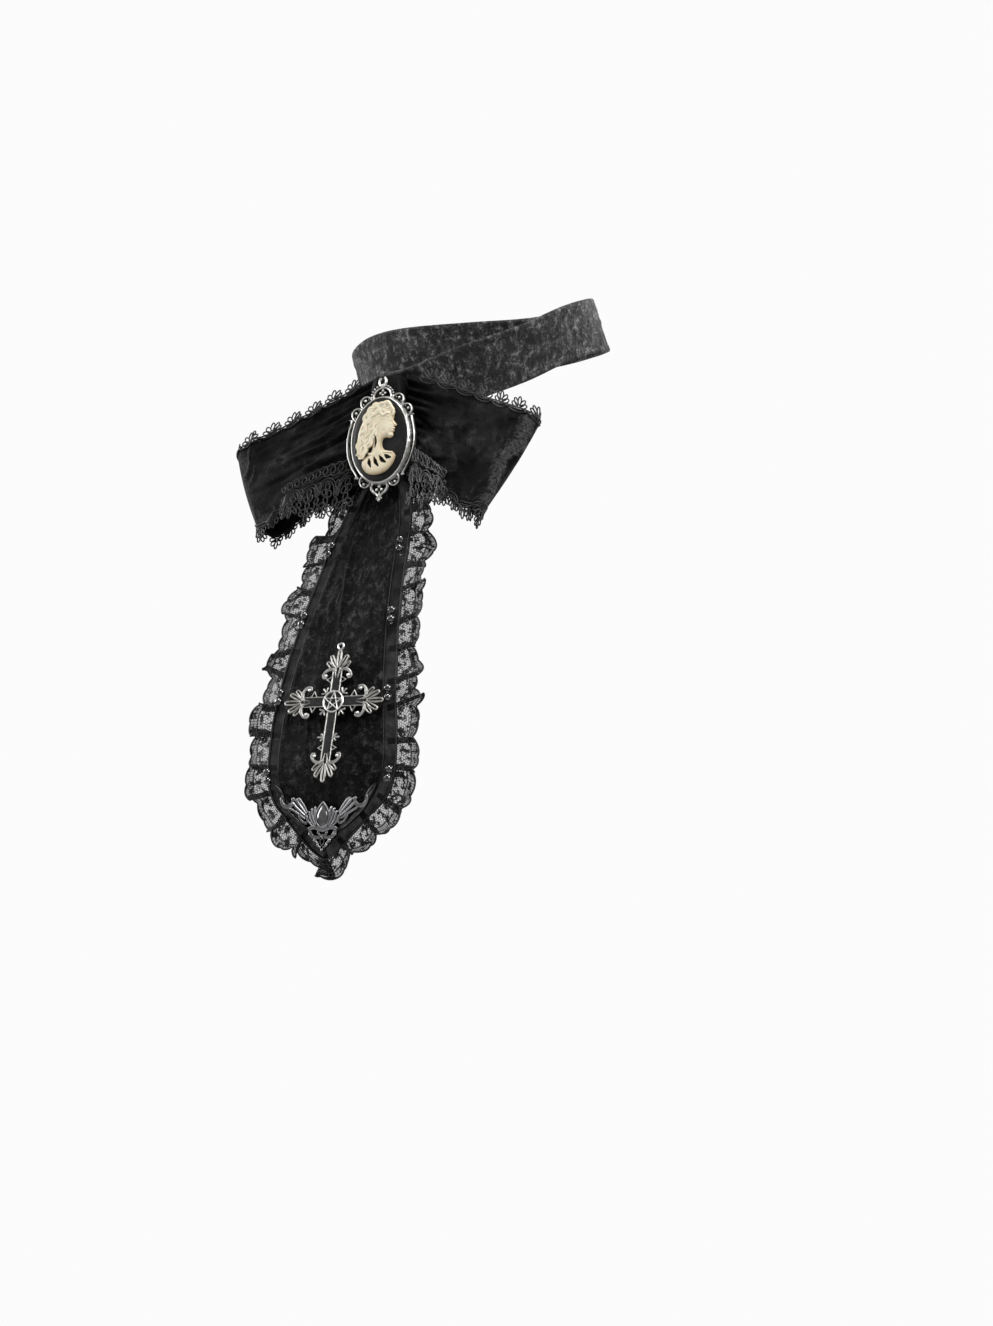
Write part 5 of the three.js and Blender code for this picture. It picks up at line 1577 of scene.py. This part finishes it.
dress(cameo_frame(), "antique_silver", "cameo_setting")
dress(cameo_ring(), "antique_silver")
dress(oval_dome("cameo_plate", 15.9, 20.9, [(1, 0.3), (1, 1.5)], SILVER, 2), "antique_silver")
FIELD_PROFILE = [(1, 1.8), (1, 2.3), (0.97, 2.6), (0.9, 2.85), (0.7, 3.05), (0.3, 3.1)]
dress(oval_dome("cameo_field", 15.2, 20.2, FIELD_PROFILE, GROUND, 14), "black_ground", "cameo_ground")
dress(cameo_lady(), "ivory_resin", "cameo_relief")


# Cross: silver lines round black enamel, in millimetres from its crossing

# Arms: turn in degrees, reach
CROSS_ARMS = ((0, 26.6), (90, 25.5), (180, 26.6), (270, 39))
LOW_ARM = 270
CROSS_FLOOR = 0.9
CROSS_TOP = 2.3
BAR_HALF = 2.6
CIRCLE = 5.3
STAR = 4.75


def on_cross(points):
    lift = CLOTH_WALL / 2 + TAIL_CROWN / 2 + CLEARANCE
    middle = tail_point(CROSS_ASIDE, TAIL_LENGTH * CROSS_PLACE, lift)
    return seated(points, middle, CROSS_TILT, float(tail_turn(CROSS_PLACE)))


# Half of a palmette: back from its tip and aside, half widths along each petal or curl, rise, groove
PALMETTE = [
    ([(10, 1.2), (7.2, 2.8), (4.4, 2.7), (2.6, 1.0)], [1.0, 2.3, 2.4, 1.6], 0.3, 0),
    ([(8.4, 0), (5, 0), (1.4, 0)], [0.7, 1.5, 1.3], 1.35, 1.1),
    ([(9, 0.8), (6.2, 2.7), (3.8, 3.9)], [0.6, 1.4, 1.3], 1.25, 1.0),
    ([(10, 1.2), (8.2, 4.0), (6.7, 5.5)], [0.6, 1.35, 1.2], 1.15, 0.95),
    ([(10.6, 1.0), (9.7, 3.6), (10.6, 6.0), (12.3, 7.3), (13.9, 7.1), (14.1, 5.8)],
     [0.55, 0.95, 0.85, 0.75, 0.6, 0.4], 1.2, 0.3),
    ([(14.0, 0.5), (12, 0.9), (9.6, 1.4)], [0.22, 0.4, 0.5], 1.0, 0),
]


def on_arm(turn, along, aside):
    """Points of an arm: along it and aside, in millimetres."""
    s, c = sin_cos(turn)
    along, aside = np.asarray(along, float), np.asarray(aside, float)
    return np.stack([along * c - aside * s, along * s + aside * c], -1)


def cross_arm(work, turn, reach):
    """Floor and rails of an arm, its palmette and its spikes."""
    ends = np.array([CIRCLE - 0.5, reach - 9.5])
    work.stroke(on_arm(turn, ends, [0, 0]), BAR_HALF, CROSS_FLOOR, 0.0, smooth=False)
    spike_place, wide, tall = (22.3, 2.6, 2.4) if turn == LOW_ARM else (10.6, 3.0, 2.7)
    for side in (-1, 1):
        work.stroke(on_arm(turn, ends, [side * 2.3] * 2), 0.3, CROSS_FLOOR, 0.6, smooth=False)
        for petals, widths, rise, groove in PALMETTE:
            back, aside = np.array(petals, float).T
            work.stroke(on_arm(turn, reach - back, side * aside), widths, 0.5, rise, groove=groove)
        work.ball(*on_arm(turn, reach - 12.9, side * 5.9), 0.95, 0.6, 1.3)
        places = [spike_place - wide / 2, spike_place, spike_place + wide / 2]
        spike = on_arm(turn, places, [side * 2.4, side * (2.4 + tall), side * 2.4])
        work.stroke(spike, 0.32, 0.6, 0.9, smooth=False)
        if turn == LOW_ARM:
            for lean, size in ((-50, 2.2), (0, 2.9), (45, 2.2)):
                s, c = sin_cos(lean)
                leaf = on_arm(turn, [17.2, 17.2 - size * s * 0.9], [side * 2.3, side * (2.3 + size * c)])
                work.stroke(leaf, [0.35, 0.65], 0.6, 0.9, groove=0.15, smooth=False)


def cross_lines():
    work = Relief(-27.2, -39.6, 27.2, 28, 0.19)
    for turn, reach in CROSS_ARMS:
        cross_arm(work, turn, reach)
        # Bud between this arm and the next
        for lean in (-64, 0, 64):
            base = on_arm(turn + 45, 5.9, 0)
            tip = on_arm(turn + 45, 6.3, 0) + on_arm(turn + 45 + lean, 2.1, 0)
            work.stroke([base, tip], [0.3, 0.6], 0.6, 0.9, smooth=False)
    work.disc(CIRCLE, CROSS_FLOOR)
    round_star = arc(0, 0, CIRCLE - 0.3, CIRCLE - 0.3, 0, 360, 49)
    work.stroke(round_star, 0.4, CROSS_FLOOR + 0.1, 1.0, smooth=False)
    star = arc(0, 0, STAR, STAR, 90, 90 + 5 * 144, 6)
    for start, end in zip(star[:-1], star[1:]):
        work.stroke([start, end], 0.3, CROSS_FLOOR, 0.9, smooth=False)
    return work.mesh("cross_lines", 0, SILVER, on_cross, 0.7, CROSS_TOP)


def cross_fill():
    """Black enamel between the silver lines, a little domed."""
    work = Relief(-18, -30, 18, 17, 0.3)
    for turn, reach in CROSS_ARMS:
        ends = on_arm(turn, [CIRCLE + 0.4, reach - 12.6], [0, 0])
        work.stroke(ends, 2.1, 0.85, 0.42, smooth=False, sharp=4)
    work.disc(4.3, 0.95, 0.25, sharp=4)
    return work.mesh("cross_fill", 0.5, ENAMEL, on_cross, 0.5, 2)


def cross_ring():
    lines = Lines()
    flat = ring_points(0, 26.9, 1.5, 20)
    lines.add(np.column_stack([flat, np.full(len(flat), 1.1)]), 0.95, closed=True)
    return lines.threads("cross_ring", SILVER, 8, on_cross)


dress(cross_lines(), "antique_silver", "cross")
dress(cross_ring(), "antique_silver")
dress(cross_fill(), "black_enamel", "cross_enamel")


# Ornament at the tip: shell wings, scrolled leaves and a cut stone, in millimetres from the stone's middle

def on_tip(points):
    near = TIP_REACH / 6
    above, below = tail_point(0, TIP_DROP - near, 0), tail_point(0, TIP_DROP + near, 0)
    tilt = math.degrees(math.atan2(above[1] - below[1], above[2] - below[2]))
    middle = tail_point(0, TIP_DROP, CLOTH_WALL / 2 + CLEARANCE)
    return seated(points, middle, tilt, float(tail_turn(TIP_DROP / TAIL_LENGTH)))


# One side of the ornament: points, half widths, base height, rise, groove
TIP_STROKES = [
    # Rail along the edge of the V and its leaf end
    ([(6.4, -5.6), (9.6, -4.6), (13.6, -1.6), (17.6, 1.8), (20.8, 5.2), (22.8, 8.6)],
     [0.9, 1.0, 1.1, 1.15, 1.2, 1.0], 0.4, 1.25, 0.35),
    ([(21.6, 8.2), (23.4, 10.8), (25.3, 13.4), (26.6, 15.2)], [0.8, 1.7, 1.35, 0.3], 0.4, 1.2, 0.4),
    # Cup of the outer curl
    ([(22.2, 9.8), (22.4, 7.8), (21.2, 5.9), (19.0, 5.2), (16.9, 6.1), (16.0, 8.0)],
     [0.5, 0.9, 1.15, 1.25, 1.15, 0.8], 0.5, 1.5, 0.3),
    # Leaf: plate, ribs and rolled lobes
    ([(9.4, 0.6), (11.6, 2.6), (13.6, 4.4), (14.8, 6.4)], [1.6, 2.6, 2.8, 1.8], 0.5, 0.5, 0),
    ([(9.6, -0.4), (12.4, 1.4), (15.0, 3.0), (17.4, 4.2)], [0.6, 0.8, 0.85, 0.8], 0.6, 1.3, 0),
    ([(9.2, 0.8), (11.8, 2.8), (14.0, 4.6), (16.0, 6.6)], [0.6, 0.85, 0.9, 0.9], 0.6, 1.45, 0),
    ([(8.8, 1.8), (10.8, 4.0), (12.7, 6.0), (14.4, 8.0)], [0.55, 0.8, 0.9, 1.0], 0.6, 1.45, 0),
    ([(8.4, 2.6), (9.8, 4.8), (11.2, 6.6), (12.4, 8.0)], [0.5, 0.75, 0.85, 0.95], 0.6, 1.3, 0),
    # Loop round the slanted eye
    ([(7.9, -1.6), (8.9, 1.0), (11.4, 1.9), (12.4, 0.5), (11.0, -1.6), (8.8, -2.6)],
     [0.9, 0.85, 0.75, 0.75, 0.8, 0.9], 0.5, 1.35, 0.1),
    # Ribs of the shell wing
    ([(2.8, -2.8), (3.8, 0.6), (4.0, 4.2)], [0.5, 0.75, 0.75], 0.7, 1.6, 0),
    ([(3.5, -3.4), (5.2, 0.4), (5.5, 3.6)], [0.5, 0.75, 0.75], 0.7, 1.6, 0),
    ([(4.1, -4.0), (6.5, -0.3), (6.9, 2.4)], [0.5, 0.75, 0.75], 0.7, 1.5, 0),
    ([(4.7, -4.4), (7.6, -1.4), (8.3, 0.8)], [0.5, 0.75, 0.75], 0.6, 1.4, 0),
    # Collar under the stone, with the pierced eye
    ([(0, -5.4), (2.0, -5.0), (4.6, -4.6), (6.6, -5.0)], [1.6, 1.4, 1.1, 1.2], 0.6, 1.5, 0.3),
    ([(0, -8.2), (1.6, -8.0), (2.2, -7.0), (1.8, -5.8)], [1.0, 0.9, 0.8, 0.8], 0.5, 1.3, 0.1),
    ([(1.8, -9.2), (3.6, -9.0), (5.4, -8.4), (6.4, -6.8)], [0.9, 1.0, 1.1, 1.1], 0.5, 1.4, 0.2),
    # Openwork below: lobed side bars and the low tip
    ([(3.6, -9.6), (3.4, -10.8), (2.2, -11.8), (2.0, -12.8), (0.9, -13.6)],
     [0.7, 0.75, 0.6, 0.65, 0.7], 0.5, 1.25, 0),
    ([(0.2, -9.6), (1.0, -10.6), (0.9, -11.8), (0.2, -12.8)], [0.5, 0.45, 0.45, 0.45], 0.5, 1.0, 0),
]
# Balls on it: place and radius
TIP_BALLS = [(0, -8.9, 0.95), (0, -14.7, 0.8), (2.3, -12.6, 0.7), (6.6, -7.6, 0.8), (3.9, -10.4, 0.85),
             (4.2, 4.5, 0.8), (5.8, 3.8, 0.8), (7.2, 2.5, 0.75), (16.2, 8.4, 1.1), (13.2, 8.4, 1.0)]


def tip_scrolls():
    work = Relief(-27.4, -15.9, 27.4, 16.2, 0.17)
    for side in (-1, 1):
        mirror = np.array([side, 1])
        for points, widths, base, rise, groove in TIP_STROKES:
            work.stroke(np.array(points) * mirror, widths, base, rise, groove=groove)
        for x, y, radius in TIP_BALLS:
            work.ball(x * side, y, radius, 1.1, 0.8)
    work.stroke([(0, -2), (0, 2.4), (0, 6.6)], [3.2, 3.2, 0.5], 0.9, 0.15)
    bezel = np.array([(0, 7.0), (1.9, 4.6), (3.3, 1.6), (3.3, -1.2), (2.2, -3.4), (0, -4.4)])
    for side in (1, -1):
        work.stroke(bezel * [side, 1], 0.6, 0.8, 1.5)
    return work.mesh("tip_scrolls", 0, GUNMETAL, on_tip, 0.6, 2.4)


def tip_jewel():
    """A pointed stone: girdle, two rows of facets and a table."""
    outline = np.array([(0, 6.3), (1.15, 5.0), (2.3, 3.0), (2.95, 1.1), (2.95, -0.9), (2.1, -2.8),
                        (0.9, -3.9), (0, -4.1)])
    outline = np.vstack([outline, outline[-2:0:-1] * [-1, 1]])
    sides = len(outline)
    # Share of the outline's size, height
    layers = [(1, 1.2), (1, 1.7), (0.8, 2.4), (0.5, 2.85)]
    middle = np.array([0, 1.0])
    rings = np.concatenate([np.column_stack([middle + (outline - middle) * scale, np.full(sides, height)])
                            for scale, height in layers])
    points = np.vstack([rings, [*middle, layers[0][1]], [*middle, layers[-1][1]]])
    back, table, top_ring = len(rings), len(rings) + 1, (len(layers) - 1) * sides
    faces = []
    for s in range(sides):
        after = (s + 1) % sides
        faces.append([back, after, s])
        for low in range(0, top_ring, sides):
            high = low + sides
            faces += [[low + s, low + after, high + after], [low + s, high + after, high + s]]
        faces.append([table, top_ring + s, top_ring + after])
    return closed_mesh("tip_jewel", on_tip(points), faces, STONE, smooth=False)


dress(tip_scrolls(), "gunmetal", "tip_ornament")
dress(tip_jewel(), "grey_stone", "tip_stone")


# Beads: glossy pairs, each held by a tiny seed bead

BEAD_NODES = [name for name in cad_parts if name.startswith("bead_")]


def sewn_beads():
    middles = np.array([np.mean(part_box(name), 0) / MM for name in BEAD_NODES])
    faced = tail_point(0, 120, 1) - tail_point(0, 120, 0)
    beads = grown("sewn_beads", middles, [], 3.9, DROPS, GLASS, Sides=16, Rings=10)
    rng = np.random.default_rng(77)
    seeds = middles + faced * 2.1 + rng.uniform(-0.25, 0.25, middles.shape)
    beside = middles + rng.uniform(-1, 1, middles.shape) * 1.1 + faced * 0.4 + np.array([0, 0, -2.3])
    tiny = grown("seed_beads", np.vstack([seeds, beside]), [], 1.25, DROPS, GLASS, Sides=10, Rings=6)
    return beads, tiny


beads, seeds = sewn_beads()
dress(beads, "black_beads", *BEAD_NODES)
dress(seeds, "black_beads")


# Floor, lights and sky

FLOOR_HEIGHT = -1.2
FLOOR_REACH = 2.4
LAMP_TARGET = Vector((0, -0.09, -0.1))
# Lamps, in metres and watts: name, place, size, power
LAMPS = [
    ("right", (1.15, -0.15, 0.45), 0.8, 15),
    ("left", (-1.2, -0.35, 0.25), 0.8, 14),
    ("top", (0.25, -0.45, 1.1), 0.5, 14),
    ("back", (0.5, 1.1, 0.6), 0.6, 6),
]
# The sky is bright where it faces this way, and dim elsewhere
SKY_BRIGHT_SIDE = (-0.545, 0.839, 0)
SKY_LEVELS = {"From Min": 0.1, "From Max": 0.85, "To Min": 0.3, "To Max": 0.97}


def studio_sky():
    """White behind the jabot, dimmer in front of it, so that the lamps model its folds."""
    world = bpy.data.worlds.new("sky")
    world.use_nodes = True
    tree = world.node_tree
    backdrop = tree.nodes["Background"]
    backdrop.inputs["Color"].default_value = (1, 1, 1, 1)
    place = tree.nodes.new("ShaderNodeTexCoord")
    facing = tree.nodes.new("ShaderNodeVectorMath")
    facing.operation = "DOT_PRODUCT"
    facing.inputs[1].default_value = SKY_BRIGHT_SIDE
    glow = tree.nodes.new("ShaderNodeMapRange")
    glow.interpolation_type = "SMOOTHSTEP"
    for socket, value in SKY_LEVELS.items():
        glow.inputs[socket].default_value = value
    tree.links.new(place.outputs["Generated"], facing.inputs[0])
    tree.links.new(facing.outputs["Value"], glow.inputs["Value"])
    tree.links.new(glow.outputs["Result"], backdrop.inputs["Strength"])
    bpy.context.scene.world = world


def floor():
    mesh = bpy.data.meshes.new("floor")
    corners = [(x * FLOOR_REACH, y * FLOOR_REACH, FLOOR_HEIGHT)
               for x, y in ((-1, -1), (1, -1), (1, 1), (-1, 1))]
    mesh.from_pydata(corners, [], [(0, 1, 2, 3)])
    return link("floor", mesh, material("pale_floor", (0.86, 0.86, 0.86), 0.9))


def lamp(name, place, size, watts):
    data = bpy.data.lights.new(name, "AREA")
    data.shape = "DISK"
    data.size = size
    data.energy = watts
    made = bpy.data.objects.new(name, data)
    made.location = place
    made.rotation_euler = (LAMP_TARGET - Vector(place)).to_track_quat("-Z", "Y").to_euler()
    bpy.context.scene.collection.objects.link(made)


floor()
studio_sky()
for row in LAMPS:
    lamp(*row)
bpy.context.scene.view_settings.view_transform = "Standard"
